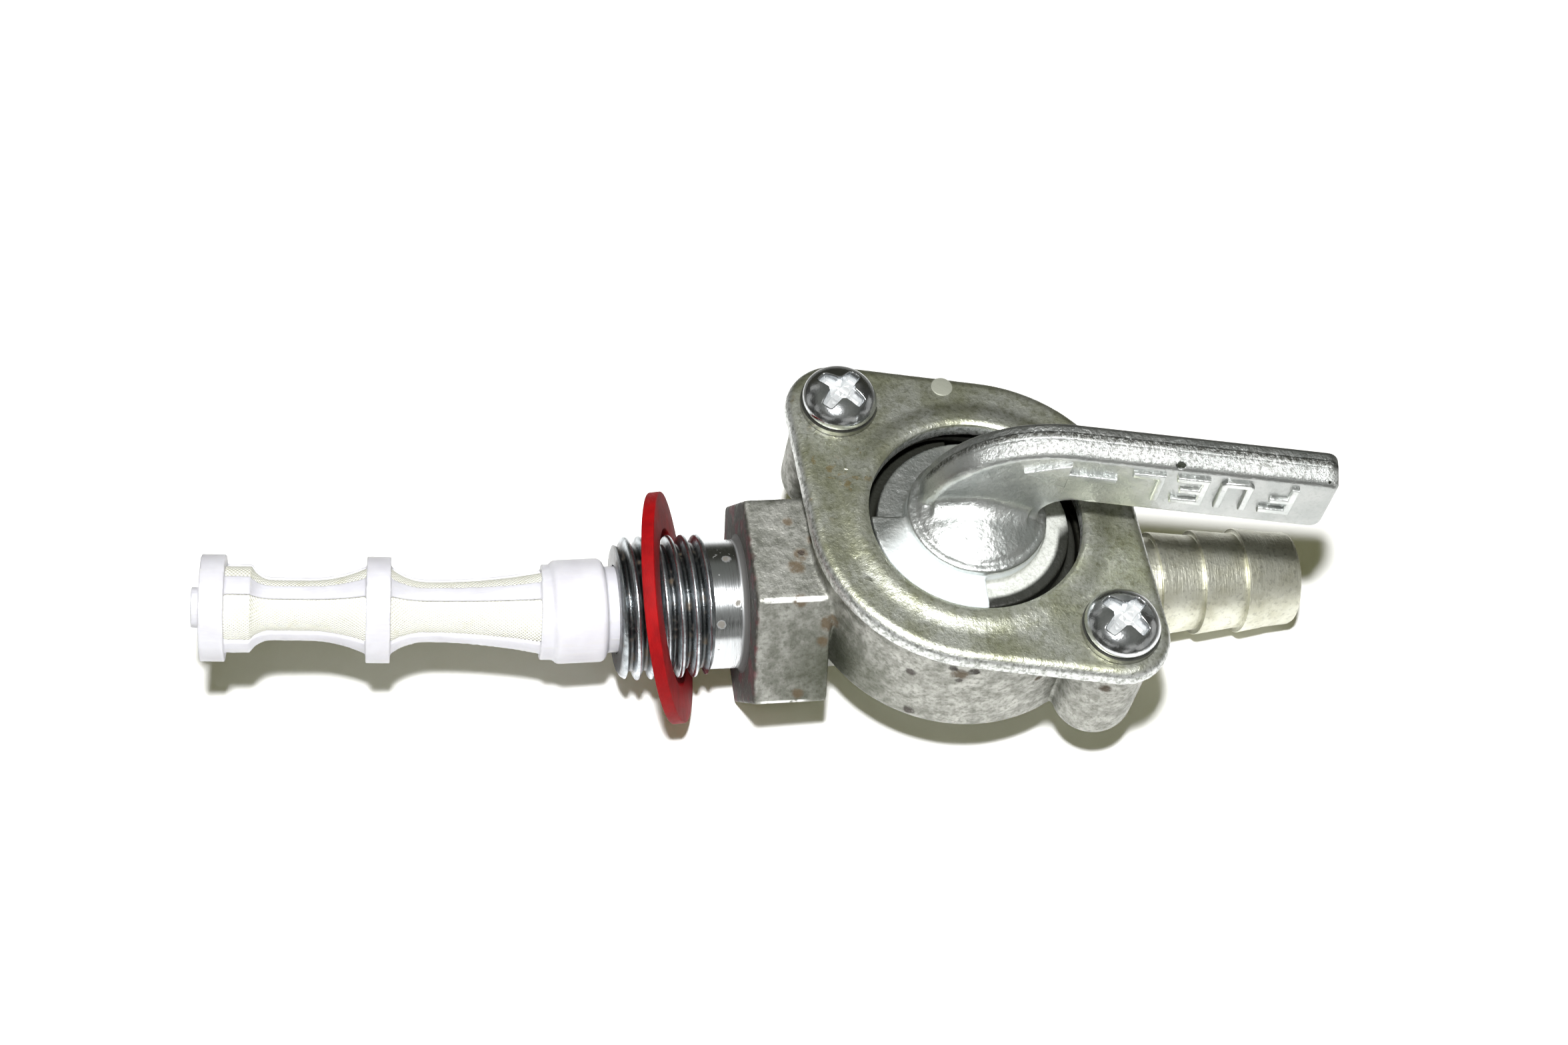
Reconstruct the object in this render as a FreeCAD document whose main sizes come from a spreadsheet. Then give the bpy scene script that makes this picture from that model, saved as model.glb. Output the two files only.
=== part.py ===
import FreeCAD, Part
import math
import os

import Sketcher

# Fuel tap with a quarter-turn lever, an inlet thread with a gauze strainer and a hose barb.
# Frame: the origin is on the inlet's axis, in the plane of the hexagon's sealing shoulder.
# +X runs with the fuel towards the barb, +Z runs out of the cover plate along the lever's axis.
# All lengths are in millimetres and all angles in degrees.

SIZES = {
    # Inlet stem
    "thread_dia": 10.0,
    "thread_length": 6.4,
    "thread_chamfer": 0.6,
    "relief_depth": 0.5,
    "relief_length": 2.3,
    "relief_round": 0.4,
    "hex_flats": 14.0,
    "hex_length": 5.2,
    "hex_edge_round": 0.25,
    # Rings from the rotor's hub out to the pot's wall
    "hub_dia": 13.3,
    "spring_gap": 0.95,
    "spring_width": 1.2,
    "bore_gap": 0.2,
    "pot_wall": 1.9,
    "hex_overlap": 0.9,
    # Heights in the pot
    "pot_base_height": -0.2,
    "pot_base_round": 1.2,
    "seat_height": 3.4,
    "seal_thickness": 2.4,
    "seal_clearance": 0.1,
    "spring_space": 1.47,
    # Screw lugs
    "screw_offset": 1.65,
    "screw_angle": -49.0,
    "lug_margin": 0.15,
    "lug_round": 2.0,
    "lug_floor": 2.4,
    "tapped_clearance": 0.05,
    "tapped_spare": 2.1,
    # Stop rib in the pot
    "stop_rib_angle": 24.0,
    "stop_rib_root": 0.2,
    "stop_clearance": 1.0,
    # Fuel ways
    "tube_dia": 9.4,
    "inlet_bore_dia": 6.2,
    "inlet_bore_depth": 13.0,
    "gallery_dia": 4.0,
    "outlet_bore_dia": 4.0,
    "port_dia": 3.0,
    "port_circle": 8.4,
    # Hose barb
    "barb_root_dia": 6.8,
    "barb_lip": 0.36,
    "barb_blunt": 0.15,
    "barb_land": 2.5,
    "barb_pitch": 3.2,
    "barb_count": 3,
    "barb_tip_length": 4.1,
    "barb_tip_round": 0.5,
    # Rotor disc, hub and boss
    "lever_angle": -10.0,
    "turn_back": 10.0,
    "turn_off": 80.0,
    "disc_clearance": 0.15,
    "disc_lift": 0.03,
    "disc_thickness": 1.8,
    "stop_depth": 1.4,
    "transfer_depth": 1.0,
    "hub_drop": 1.1,
    "boss_dia": 9.6,
    "boss_rise": 0.35,
    "boss_crown": 0.75,
    "sector_drop": 0.15,
    "sector_span": 91.0,
    "sector_start": 187.0,
    "sector_root": 0.3,
    "sector_gap": 0.2,
    # Lever blade
    "blade_thickness": 2.5,
    "blade_face_offset": 0.2,
    "blade_lift": 3.05,
    "blade_height": 5.7,
    "blade_reach": 22.9,
    "blade_sweep": 9.2,
    "blade_foot": 0.6,
    "blade_foot_inset": 0.7,
    "blade_tip_round": 0.8,
    "blade_edge_round": 0.45,
    "blade_root_round": 2.2,
    "blade_front_blend": 1.4,
    "blade_back_blend": 1.0,
    "blend_angle": 24.0,
    "blend_root": 0.3,
    # Cover plate
    "plate_thickness": 1.2,
    "plate_overhang": 0.5,
    "plate_corner_margin": 0.75,
    "plate_edge_round": 0.7,
    "window_gap": 0.75,
    "collar_width": 0.9,
    "collar_rise": 0.25,
    "screw_hole_gap": 0.4,
    # Wave spring
    "spring_thickness": 0.3,
    "spring_clearance": 0.06,
    "spring_waves": 3,
    "spring_split": 8.0,
    # Screws and lock washers
    "screw_shank_dia": 2.5,
    "screw_shank_length": 6.6,
    "head_dia": 5.2,
    "head_height": 1.7,
    "head_crown": 1.2,
    "recess_length": 2.9,
    "recess_width": 0.75,
    "recess_depth": 0.9,
    "lock_washer_margin": 0.1,
    "lock_washer_thickness": 0.5,
    # Strainer
    "stub_clearance": 0.1,
    "stub_wall": 0.9,
    "stub_length": 5.0,
    "strainer_collar_lip": 0.6,
    "strainer_collar_length": 3.75,
    "strainer_collar_gap": 0.75,
    "strainer_collar_round": 0.5,
    "cage_bend": -4.0,
    "cage_dia": 5.7,
    "waist_depth": 0.9,
    "waist_length": 2.4,
    "outer_land": 1.7,
    "outer_fall": 1.45,
    "outer_rise": 3.9,
    "inner_fall": 2.5,
    "inner_rise": 8.4,
    "ring_lip": 0.8,
    "ring_width": 1.65,
    "rib_depth": 0.35,
    "rib_root": 0.5,
    "rib_angle": 26.0,
    "rib_count": 4,
    "gauze_wall": 0.15,
    "gauze_gap": 0.03,
    "gauze_end_gap": 0.25,
    "hem_length": 0.7,
    "hem_lip": 0.1,
    "nub_dia": 2.8,
    "nub_length": 0.65,
    # Sealing washer
    "washer_slack": 0.5,
    "washer_width": 2.65,
    "washer_thickness": 0.75,
    "washer_place": 2.7,
    "washer_sag": 0.13,
    "washer_turn": -4.8,
    "washer_lean": 15.0,
}


class Size:
    """A number together with the sheet formula that gives it."""

    def __init__(self, value, formula):
        self.value = float(value)
        self.formula = formula

    @staticmethod
    def of(other):
        return other if isinstance(other, Size) else Size(other, repr(float(other)))

    def __add__(self, other):
        other = Size.of(other)
        return Size(self.value + other.value, f"({self.formula} + {other.formula})")

    def __sub__(self, other):
        other = Size.of(other)
        return Size(self.value - other.value, f"({self.formula} - {other.formula})")

    def __mul__(self, other):
        other = Size.of(other)
        return Size(self.value * other.value, f"({self.formula} * {other.formula})")

    def __truediv__(self, other):
        other = Size.of(other)
        return Size(self.value / other.value, f"({self.formula} / {other.formula})")

    def __neg__(self):
        return Size(-self.value, f"(0 - {self.formula})")

    def __radd__(self, other):
        return Size.of(other) + self

    def __rsub__(self, other):
        return Size.of(other) - self

    __rmul__ = __mul__

    def cos(self):
        return Size(math.cos(math.radians(self.value)), f"cos({self.formula} * 1 deg)")

    def sin(self):
        return Size(math.sin(math.radians(self.value)), f"sin({self.formula} * 1 deg)")

    def arccos(self):
        return Size(math.degrees(math.acos(self.value)), f"(acos({self.formula}) / 1 deg)")

    def root(self):
        return Size(math.sqrt(self.value), f"sqrt({self.formula})")


ZERO = Size.of(0)


class Sheet:
    """The spreadsheet of driving dimensions, read as named sizes, with the sizes that follow from them."""

    def __init__(self, doc):
        self.cells = doc.addObject("Spreadsheet::Sheet", "Sizes")
        for row, (name, value) in enumerate(SIZES.items(), start=1):
            self.cells.set(f"A{row}", name)
            self.cells.set(f"B{row}", str(value))
            self.cells.setAlias(f"B{row}", name)
        doc.recompute()

    def __getattr__(self, name):
        return Size(SIZES[name], f"Sizes.{name}")

    @property
    def spring_inner(self):
        return self.hub_dia / 2 + self.spring_gap

    @property
    def spring_outer(self):
        return self.spring_inner + self.spring_width

    @property
    def pot_bore(self):
        return self.spring_outer + self.bore_gap

    @property
    def pot_radius(self):
        return self.pot_bore + self.pot_wall

    @property
    def disc_radius(self):
        return self.pot_bore - self.disc_clearance

    @property
    def notch_radius(self):
        return self.disc_radius - self.stop_depth

    @property
    def window_radius(self):
        return self.hub_dia / 2 + self.window_gap

    @property
    def rotor_reach(self):
        return self.hex_length + self.pot_radius - self.hex_overlap

    @property
    def screw_reach(self):
        return self.pot_radius + self.screw_offset

    @property
    def seal_top(self):
        return self.seat_height + self.seal_thickness

    @property
    def disc_base(self):
        return self.seal_top + self.disc_lift

    @property
    def disc_top(self):
        return self.disc_base + self.disc_thickness

    @property
    def pot_rim(self):
        return self.disc_top + self.spring_space

    @property
    def plate_top(self):
        return self.pot_rim + self.plate_thickness

    @property
    def boss_edge(self):
        return self.plate_top + self.boss_rise

    @property
    def head_seat(self):
        return self.plate_top + self.lock_washer_thickness

    @property
    def lock_washer_radius(self):
        return self.head_dia / 2 + self.lock_washer_margin

    @property
    def lug_radius(self):
        return self.lock_washer_radius + self.lug_margin

    @property
    def tapped_depth(self):
        grip = self.plate_thickness + self.lock_washer_thickness
        return self.screw_shank_length - grip + self.tapped_spare

    @property
    def lug_base(self):
        return self.pot_rim - self.tapped_depth - self.lug_floor

    @property
    def thread_end(self):
        return -(self.relief_length + self.thread_length)

    @property
    def collar_face(self):
        return self.thread_end - self.strainer_collar_gap

    @property
    def cage_start(self):
        return self.collar_face - self.strainer_collar_length

    @property
    def inner_span(self):
        return self.inner_fall + self.inner_rise

    @property
    def outer_span(self):
        return self.outer_land + self.outer_fall + self.waist_length + self.outer_rise

    @property
    def mid_ring_end(self):
        return -(self.inner_span + self.ring_width)

    @property
    def end_ring_face(self):
        return self.mid_ring_end - self.outer_span

    @property
    def ring_radius(self):
        return self.cage_dia / 2 + self.ring_lip


class Piece:
    """One body of the assembly, with short calls for its sketches and features."""

    def __init__(self, doc, label, place=(ZERO, ZERO, ZERO), turn=ZERO):
        self.doc = doc
        self.body = doc.addObject("PartDesign::Body", label)
        self.body.Label = label
        base = FreeCAD.Vector(*[size.value for size in place])
        self.body.Placement = FreeCAD.Placement(base, FreeCAD.Rotation(FreeCAD.Vector(0, 0, 1), turn.value))
        for axis, size in zip("xyz", place):
            self.body.setExpression(f"Placement.Base.{axis}", size.formula)
        if turn.value:
            self.body.setExpression("Placement.Rotation.Angle", f"{turn.formula} * 1 deg")

    def plane(self, role):
        return next(item for item in self.body.Origin.OriginFeatures if item.Role == role)

    def sketch(self, name, role, shift=(ZERO, ZERO, ZERO), turn=ZERO):
        """A new sketch on an origin plane, shifted and turned within that plane's own axes."""
        sketch = self.body.newObject("Sketcher::SketchObject", name)
        sketch.AttachmentSupport = [(self.plane(role), "")]
        sketch.MapMode = "FlatFace"
        base = FreeCAD.Vector(*[size.value for size in shift])
        rotation = FreeCAD.Rotation(FreeCAD.Vector(0, 0, 1), turn.value)
        sketch.AttachmentOffset = FreeCAD.Placement(base, rotation)
        for axis, size in zip("xyz", shift):
            if size.value:
                sketch.setExpression(f"AttachmentOffset.Base.{axis}", size.formula)
        if turn.value:
            sketch.setExpression("AttachmentOffset.Rotation.Angle", f"{turn.formula} * 1 deg")
        return sketch

    def circles(self, name, role, spots, radius, shift=(ZERO, ZERO, ZERO)):
        """A sketch of equal circles, each centred on one of the spots."""
        sketch = self.sketch(name, role, shift)
        add_circles(sketch, spots, radius)
        return sketch

    def outline(self, name, role, corners, shift=(ZERO, ZERO, ZERO), turn=ZERO):
        """A sketch that holds one closed loop."""
        sketch = self.sketch(name, role, shift, turn)
        add_loop(sketch, corners)
        return sketch

    def feature(self, kind, name, sketch, **settings):
        """A sketch-based feature. Settings that are sizes are bound to the sheet."""
        item = self.body.newObject(f"PartDesign::{kind}", name)
        item.Profile = sketch
        sketch.Visibility = False
        for key, value in settings.items():
            if isinstance(value, Size):
                setattr(item, key, value.value)
                item.setExpression(key, value.formula)
            else:
                setattr(item, key, value)
        self.doc.recompute()
        return item

    def pad(self, name, sketch, length, **settings):
        return self.feature("Pad", name, sketch, Length=length, **settings)

    def pocket(self, name, sketch, length, **settings):
        return self.feature("Pocket", name, sketch, Length=length, **settings)

    def turned(self, name, sketch, angle=None):
        """Material spun about the sketch's own horizontal axis."""
        spun = self.feature("Revolution", name, sketch, ReferenceAxis=(sketch, ["H_Axis"]))
        if angle is not None:
            spun.Angle = angle.value
            spun.setExpression("Angle", angle.formula)
            spun.Midplane = True
            self.doc.recompute()
        return spun

    def groove(self, name, sketch):
        return self.feature("Groove", name, sketch, ReferenceAxis=(sketch, ["H_Axis"]))

    def spun_upright(self, name, sketch):
        """Material spun about the sketch's own vertical axis."""
        return self.feature("Revolution", name, sketch, ReferenceAxis=(sketch, ["V_Axis"]))

    def polar(self, name, feature, axis, count):
        pattern = self.body.newObject("PartDesign::PolarPattern", name)
        pattern.Originals = [feature]
        pattern.Axis = axis
        pattern.Angle = 360
        pattern.Occurrences = int(count.value)
        pattern.setExpression("Occurrences", count.formula)
        self.body.Tip = pattern
        self.doc.recompute()
        return pattern

    def soften(self, name, radius, wanted):
        """A fillet on each edge of the tip that the test picks out."""
        tip = self.body.Tip
        edges = [f"Edge{i + 1}" for i, edge in enumerate(tip.Shape.Edges) if wanted(edge)]
        item = self.body.newObject("PartDesign::Fillet", name)
        item.Base = (tip, edges)
        item.Radius = radius.value
        item.setExpression("Radius", radius.formula)
        self.doc.recompute()
        return item


def bind(sketch, constraint, size):
    index = sketch.addConstraint(constraint)
    sketch.setExpression(f"Constraints[{index}]", size.formula)


def pin_point(sketch, geometry, point, x, y):
    """Fixes one point of a sketch by its two coordinates."""
    for axis, size in (("X", x), ("Y", y)):
        if size.value:
            bind(sketch, Sketcher.Constraint(f"Distance{axis}", geometry, point, size.value), size)
        else:
            line = -2 if axis == "X" else -1
            sketch.addConstraint(Sketcher.Constraint("PointOnObject", geometry, point, line))


def add_circles(sketch, spots, radius):
    for x, y in spots:
        centre = FreeCAD.Vector(x.value, y.value, 0)
        circle = sketch.addGeometry(Part.Circle(centre, FreeCAD.Vector(0, 0, 1), radius.value))
        bind(sketch, Sketcher.Constraint("Radius", circle, radius.value), radius)
        pin_point(sketch, circle, 3, x, y)


def add_loop(sketch, corners):
    """A closed loop of lines and arcs. A corner is (x, y) or (x, y, r), where r is the radius
    of the arc that leads to the next corner, positive when it turns anticlockwise."""
    start = sketch.GeometryCount
    count = len(corners)
    for index, corner in enumerate(corners):
        add_edge(sketch, corner, corners[(index + 1) % count])
    for index, corner in enumerate(corners):
        after = (index + 1) % count
        ends = 3 - first_point(corner), first_point(corners[after])
        sketch.addConstraint(Sketcher.Constraint("Coincident", start + index, ends[0], start + after, ends[1]))
    for index, corner in enumerate(corners):
        pin_point(sketch, start + index, first_point(corner), corner[0], corner[1])
        if len(corner) == 3:
            radius = corner[2] if corner[2].value > 0 else -corner[2]
            bind(sketch, Sketcher.Constraint("Radius", start + index, radius.value), radius)


def first_point(corner):
    """The number of the edge's own point that lies on this corner: a clockwise arc runs backwards."""
    return 2 if len(corner) == 3 and corner[2].value < 0 else 1


def add_edge(sketch, corner, following):
    """A straight edge, or the shorter arc of the corner's radius, to the following corner."""
    start = FreeCAD.Vector(corner[0].value, corner[1].value, 0)
    end = FreeCAD.Vector(following[0].value, following[1].value, 0)
    if len(corner) == 2:
        sketch.addGeometry(Part.LineSegment(start, end))
        return
    radius = corner[2].value
    chord = end - start
    side = FreeCAD.Vector(-chord.y, chord.x, 0).normalize() * math.copysign(1, radius)
    centre = (start + end) * 0.5 + side * math.sqrt(radius ** 2 - (chord.Length / 2) ** 2)
    first, last = (start, end) if radius > 0 else (end, start)
    angles = [math.atan2(point.y - centre.y, point.x - centre.x) for point in (first, last)]
    circle = Part.Circle(centre, FreeCAD.Vector(0, 0, 1), abs(radius))
    sketch.addGeometry(Part.ArcOfCircle(circle, angles[0], angles[1] + 2 * math.pi * (angles[1] < angles[0])))


def near(value, target, slack=0.02):
    return abs(value - target) < slack


def edge_is_level(edge, height):
    """True for an edge that lies wholly at one height."""
    return near(edge.BoundBox.ZMin, height) and near(edge.BoundBox.ZMax, height)


def polar_point(radius, angle, centre=(ZERO, ZERO)):
    return centre[0] + radius * angle.cos(), centre[1] + radius * angle.sin()


def ring_sector(inner, outer, start, end, centre=(ZERO, ZERO)):
    """Corners of a piece of a ring between two radii and two angles."""
    return [
        (*polar_point(outer, start, centre), outer),
        polar_point(outer, end, centre),
        (*polar_point(inner, end, centre), -inner),
        polar_point(inner, start, centre),
    ]


def screw_spots(size, centre=(ZERO, ZERO)):
    """The two screw centres, opposite each other across the rotor's axis."""
    return [polar_point(size.screw_reach, size.screw_angle + turn, centre) for turn in (0, 180)]


def stem_corners(size):
    """Half section of everything turned about the flow axis: thread, relief, tube and barb."""
    end = size.thread_end
    thread = size.thread_dia / 2
    relief = thread - size.relief_depth
    tube = size.tube_dia / 2
    root = size.barb_root_dia / 2
    crest = root + size.barb_lip
    tube_end = size.rotor_reach + size.pot_radius
    land = tube_end + (tube - root)
    corners = [
        (end, ZERO),
        (end, thread - size.thread_chamfer),
        (end + size.thread_chamfer, thread),
        (-size.relief_length, thread),
        (-size.relief_length, relief),
        (size.hex_length / 2, relief),
        (size.hex_length / 2, tube),
        (tube_end, tube),
        (land, root),
    ]
    edge = land + size.barb_land
    for number in range(SIZES["barb_count"]):
        edge = land + size.barb_land + size.barb_pitch * number
        corners.append((edge, root))
        corners.append((edge, crest))
        corners.append((edge + size.barb_blunt, crest))
    tip = edge + size.barb_tip_length
    corners.append((tip - size.barb_tip_round, root, -size.barb_tip_round))
    corners.append((tip, root - size.barb_tip_round))
    corners.append((tip, ZERO))
    return corners


def hexagon_corners(size):
    """A hexagon with flats at the top and bottom, drawn across the flow axis."""
    reach = size.hex_flats / Size.of(3).root()
    return [polar_point(reach, Size.of(60 * number)) for number in range(6)]


def make_valve_body(doc, size):
    """Casting with the thread, hexagon, pot, lugs, ports and hose barb in one piece."""
    piece = Piece(doc, "valve_body")
    axis = (size.rotor_reach, ZERO)
    corners = stem_corners(size)
    piece.turned("stem", piece.outline("stem_section", "XZ_Plane", corners))
    hexagon = piece.outline("hexagon", "YZ_Plane", hexagon_corners(size))
    piece.pad("hexagon_pad", hexagon, size.hex_length)
    piece.soften("hexagon_edges", size.hex_edge_round, lambda edge: is_hexagon_edge(edge, size))
    piece.soften("relief_root", size.relief_round, lambda edge: is_relief_root(edge, size))

    profile = column_corners(size, size.pot_radius, size.pot_base_height, size.pot_base_round)
    pot = piece.outline("pot_section", "XZ_Plane", profile, (size.rotor_reach, ZERO, ZERO))
    piece.spun_upright("pot", pot)
    profile = column_corners(size, size.lug_radius, size.lug_base, size.lug_round)
    for number, (x, y) in enumerate(screw_spots(size, axis)):
        lug = piece.outline(f"lug_section_{number}", "XZ_Plane", profile, (x, ZERO, -y))
        piece.spun_upright(f"lug_{number}", lug)
    cut_pot(piece, size, axis)
    tip = corners[-1][0]
    cut_fuel_ways(piece, size, tip)
    return piece


def column_corners(size, radius, base, base_round):
    """Half section of a solid column up to the pot's rim, with a rounded foot."""
    return [
        (ZERO, base),
        (radius - base_round, base, base_round),
        (radius, base + base_round),
        (radius, size.pot_rim),
        (ZERO, size.pot_rim),
    ]


def is_hexagon_edge(edge, size):
    """True for the six long edges and the twelve end edges of the hexagon."""
    box = edge.BoundBox
    reach = size.hex_flats.value / math.sqrt(3)
    across = max(abs(box.YMin), abs(box.YMax))
    upright = max(abs(box.ZMin), abs(box.ZMax))
    outside = near(across, reach) or near(upright, size.hex_flats.value / 2)
    return outside and box.XMax < size.hex_length.value + 0.01 and len(edge.Vertexes) == 2


def is_relief_root(edge, size):
    """True for the circle where the relief neck meets the hexagon's shoulder."""
    box = edge.BoundBox
    relief = (size.thread_dia / 2 - size.relief_depth).value
    return near(box.XMin, 0) and near(box.XMax, 0) and near(box.YMax, relief)


def cut_pot(piece, size, axis):
    """Opens the pot, leaves the stop rib in it and drills the tapped holes."""
    rim = (ZERO, ZERO, size.pot_rim)
    bore = piece.circles("pot_bore_circle", "XY_Plane", [axis], size.pot_bore, rim)
    piece.pocket("pot_bore", bore, size.pot_rim - size.seat_height)

    outer = size.pot_bore + size.stop_rib_root
    inner = size.notch_radius + size.disc_clearance
    half = size.stop_rib_angle / 2
    corners = ring_sector(inner, outer, -half, half, axis)
    rib = piece.outline("stop_rib_outline", "XY_Plane", corners, (ZERO, ZERO, size.seal_top))
    piece.pad("stop_rib", rib, size.disc_thickness)

    tapped = size.screw_shank_dia / 2 + size.tapped_clearance
    holes = piece.circles("tapped_circles", "XY_Plane", screw_spots(size, axis), tapped, rim)
    piece.pocket("tapped_holes", holes, size.tapped_depth)


def cut_fuel_ways(piece, size, tip):
    """Drills the inlet, the gallery, the outlet and the two ports up to the seal's seat."""
    inlet = size.inlet_bore_dia / 2
    gallery = size.gallery_dia / 2
    mouth = size.thread_end
    step = mouth + size.inlet_bore_depth
    first_port = size.rotor_reach - size.port_circle / 2
    last_port = size.rotor_reach + size.port_circle / 2
    gallery_end = first_port + size.port_dia / 2
    corners = [
        (mouth, ZERO),
        (mouth, inlet),
        (step, inlet),
        (step + (inlet - gallery), gallery),
        (gallery_end, gallery),
        (gallery_end + gallery / 2, ZERO),
    ]
    piece.groove("inlet_bore", piece.outline("inlet_section", "XZ_Plane", corners))
    outlet = size.outlet_bore_dia / 2
    outlet_start = last_port - size.port_dia / 2
    corners = [
        (outlet_start - outlet / 2, ZERO),
        (outlet_start, outlet),
        (tip, outlet),
        (tip, ZERO),
    ]
    piece.groove("outlet_bore", piece.outline("outlet_section", "XZ_Plane", corners))
    seat = (ZERO, ZERO, size.seat_height)
    spots = [(first_port, ZERO), (last_port, ZERO)]
    ports = piece.circles("port_circles", "XY_Plane", spots, size.port_dia / 2, seat)
    piece.pocket("ports", ports, size.seat_height)


def make_port_seal(doc, size):
    """Rubber disc on the pot's floor, with four holes on the ports' circle."""
    piece = Piece(doc, "port_seal", (size.rotor_reach, ZERO, ZERO))
    seat = (ZERO, ZERO, size.seat_height)
    radius = size.pot_bore - size.seal_clearance
    disc = piece.circles("seal_circle", "XY_Plane", [(ZERO, ZERO)], radius, seat)
    piece.pad("seal_disc", disc, size.seal_thickness)
    top = (ZERO, ZERO, size.seal_top)
    spots = [polar_point(size.port_circle / 2, Size.of(angle)) for angle in (0, 90, 180, 270)]
    holes = piece.circles("seal_hole_circles", "XY_Plane", spots, size.port_dia / 2, top)
    piece.pocket("seal_holes", holes, size.seal_thickness)
    return piece


def make_lever(doc, size):
    """Lever blade, boss, hub, raised sector and ported disc, cast in one piece."""
    piece = Piece(doc, "lever", (size.rotor_reach, ZERO, ZERO), size.lever_angle)
    boss = size.boss_dia / 2
    hub = size.hub_dia / 2
    hub_top = size.plate_top - size.hub_drop
    crown = size.boss_crown
    crown_radius = (boss * boss + crown * crown) / (crown * 2)
    corners = [
        (ZERO, size.disc_base),
        (size.disc_radius, size.disc_base),
        (size.disc_radius, size.disc_top),
        (hub, size.disc_top),
        (hub, hub_top),
        (boss, hub_top),
        (boss, size.boss_edge, crown_radius),
        (ZERO, size.boss_edge + crown),
    ]
    add_blade(piece, size, boss)
    piece.spun_upright("rotor", piece.outline("rotor_section", "XZ_Plane", corners))
    add_blends(piece, size, crown_radius)
    add_sector(piece, size)
    cut_disc(piece, size)
    return piece


def add_blade(piece, size, boss):
    """Upright blade whose top sweeps down to the far rim of the boss."""
    under = size.plate_top + size.blade_lift
    top = under + size.blade_height
    tip = size.blade_reach
    sweep = size.blade_sweep
    root = size.blade_root_round
    tip_round = size.blade_tip_round
    foot = size.boss_edge - size.blade_foot
    rise = sweep - (top - foot)
    back = (sweep * sweep - rise * rise).root()
    inset = boss - size.blade_foot_inset
    centre = back - inset
    corners = [
        (-inset, foot),
        (inset, foot),
        (inset, under - root, -root),
        (inset + root, under),
        (tip - tip_round, under, tip_round),
        (tip, under + tip_round),
        (tip, top - tip_round, tip_round),
        (tip - tip_round, top),
        (centre, top, sweep),
    ]
    outline = piece.outline("blade_outline", "XZ_Plane", corners, (ZERO, ZERO, size.blade_face_offset))
    piece.pad("blade", outline, size.blade_thickness, Reversed=True)
    piece.soften("blade_edges", size.blade_edge_round, lambda edge: is_blade_edge(edge, size, foot.value))


def is_blade_edge(edge, size, foot):
    """True for the edges between the blade's flat sides and its rim, above its foot."""
    box = edge.BoundBox
    faces = -size.blade_face_offset.value, (size.blade_thickness - size.blade_face_offset).value
    on_side = any(near(box.YMin, face) and near(box.YMax, face) for face in faces)
    upright = near(box.XMin, box.XMax) and near(box.ZMin, foot)
    return on_side and not upright and box.ZMax > foot + 0.1


def add_blends(piece, size, crown_radius):
    """Hollow blends that carry the blade's two sides down onto the crown of the boss.
    Each is a short arc of a ring about the crown's own centre."""
    centre = size.boss_edge + size.boss_crown - crown_radius
    front = -size.blade_face_offset
    back = size.blade_thickness - size.blade_face_offset
    for name, side, face, blend in (
        ("front_blend", -1, front, size.blade_front_blend),
        ("back_blend", 1, back, size.blade_back_blend),
    ):
        toe = face + blend * side
        floor = (crown_radius * crown_radius - toe * toe).root()
        inside = face - size.blend_root * side
        corners = [
            (face, floor + blend, blend * side),
            (toe, floor),
            (toe, floor - size.blend_root),
            (inside, floor - size.blend_root),
            (inside, floor + blend),
        ]
        section = piece.outline(f"{name}_section", "YZ_Plane", corners, (ZERO, centre, ZERO))
        piece.turned(name, section, size.blend_angle)


def add_sector(piece, size):
    """Raised quarter ring that fills the window's edge on one side of the boss."""
    inner = size.boss_dia / 2 - size.sector_root
    outer = size.window_radius - size.sector_gap
    corners = ring_sector(inner, outer, size.sector_start, size.sector_start + size.sector_span)
    outline = piece.outline("sector_outline", "XY_Plane", corners, (ZERO, ZERO, size.disc_top))
    piece.pad("sector", outline, size.plate_top - size.sector_drop - size.disc_top)


def cut_disc(piece, size):
    """Cuts the transfer slot and the notch that works against the stop rib."""
    under = (ZERO, ZERO, size.disc_base)
    reach = size.port_circle / 2
    half = size.port_dia / 2
    corners = [
        (-reach, -half),
        (reach, -half, half),
        (reach + half, ZERO, half),
        (reach, half),
        (-reach, half, half),
        (-(reach + half), ZERO, half),
    ]
    slot = piece.outline("transfer_outline", "XY_Plane", corners, under)
    piece.pocket("transfer_slot", slot, size.transfer_depth, Reversed=True)
    rib = size.stop_rib_angle / 2 + size.stop_clearance
    first = -rib - size.turn_back - size.lever_angle
    last = rib + size.turn_off - size.lever_angle
    corners = ring_sector(size.notch_radius, size.pot_bore, first, last)
    notch = piece.outline("notch_outline", "XY_Plane", corners, under)
    piece.pocket("stop_notch", notch, size.disc_thickness, Reversed=True)


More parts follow.
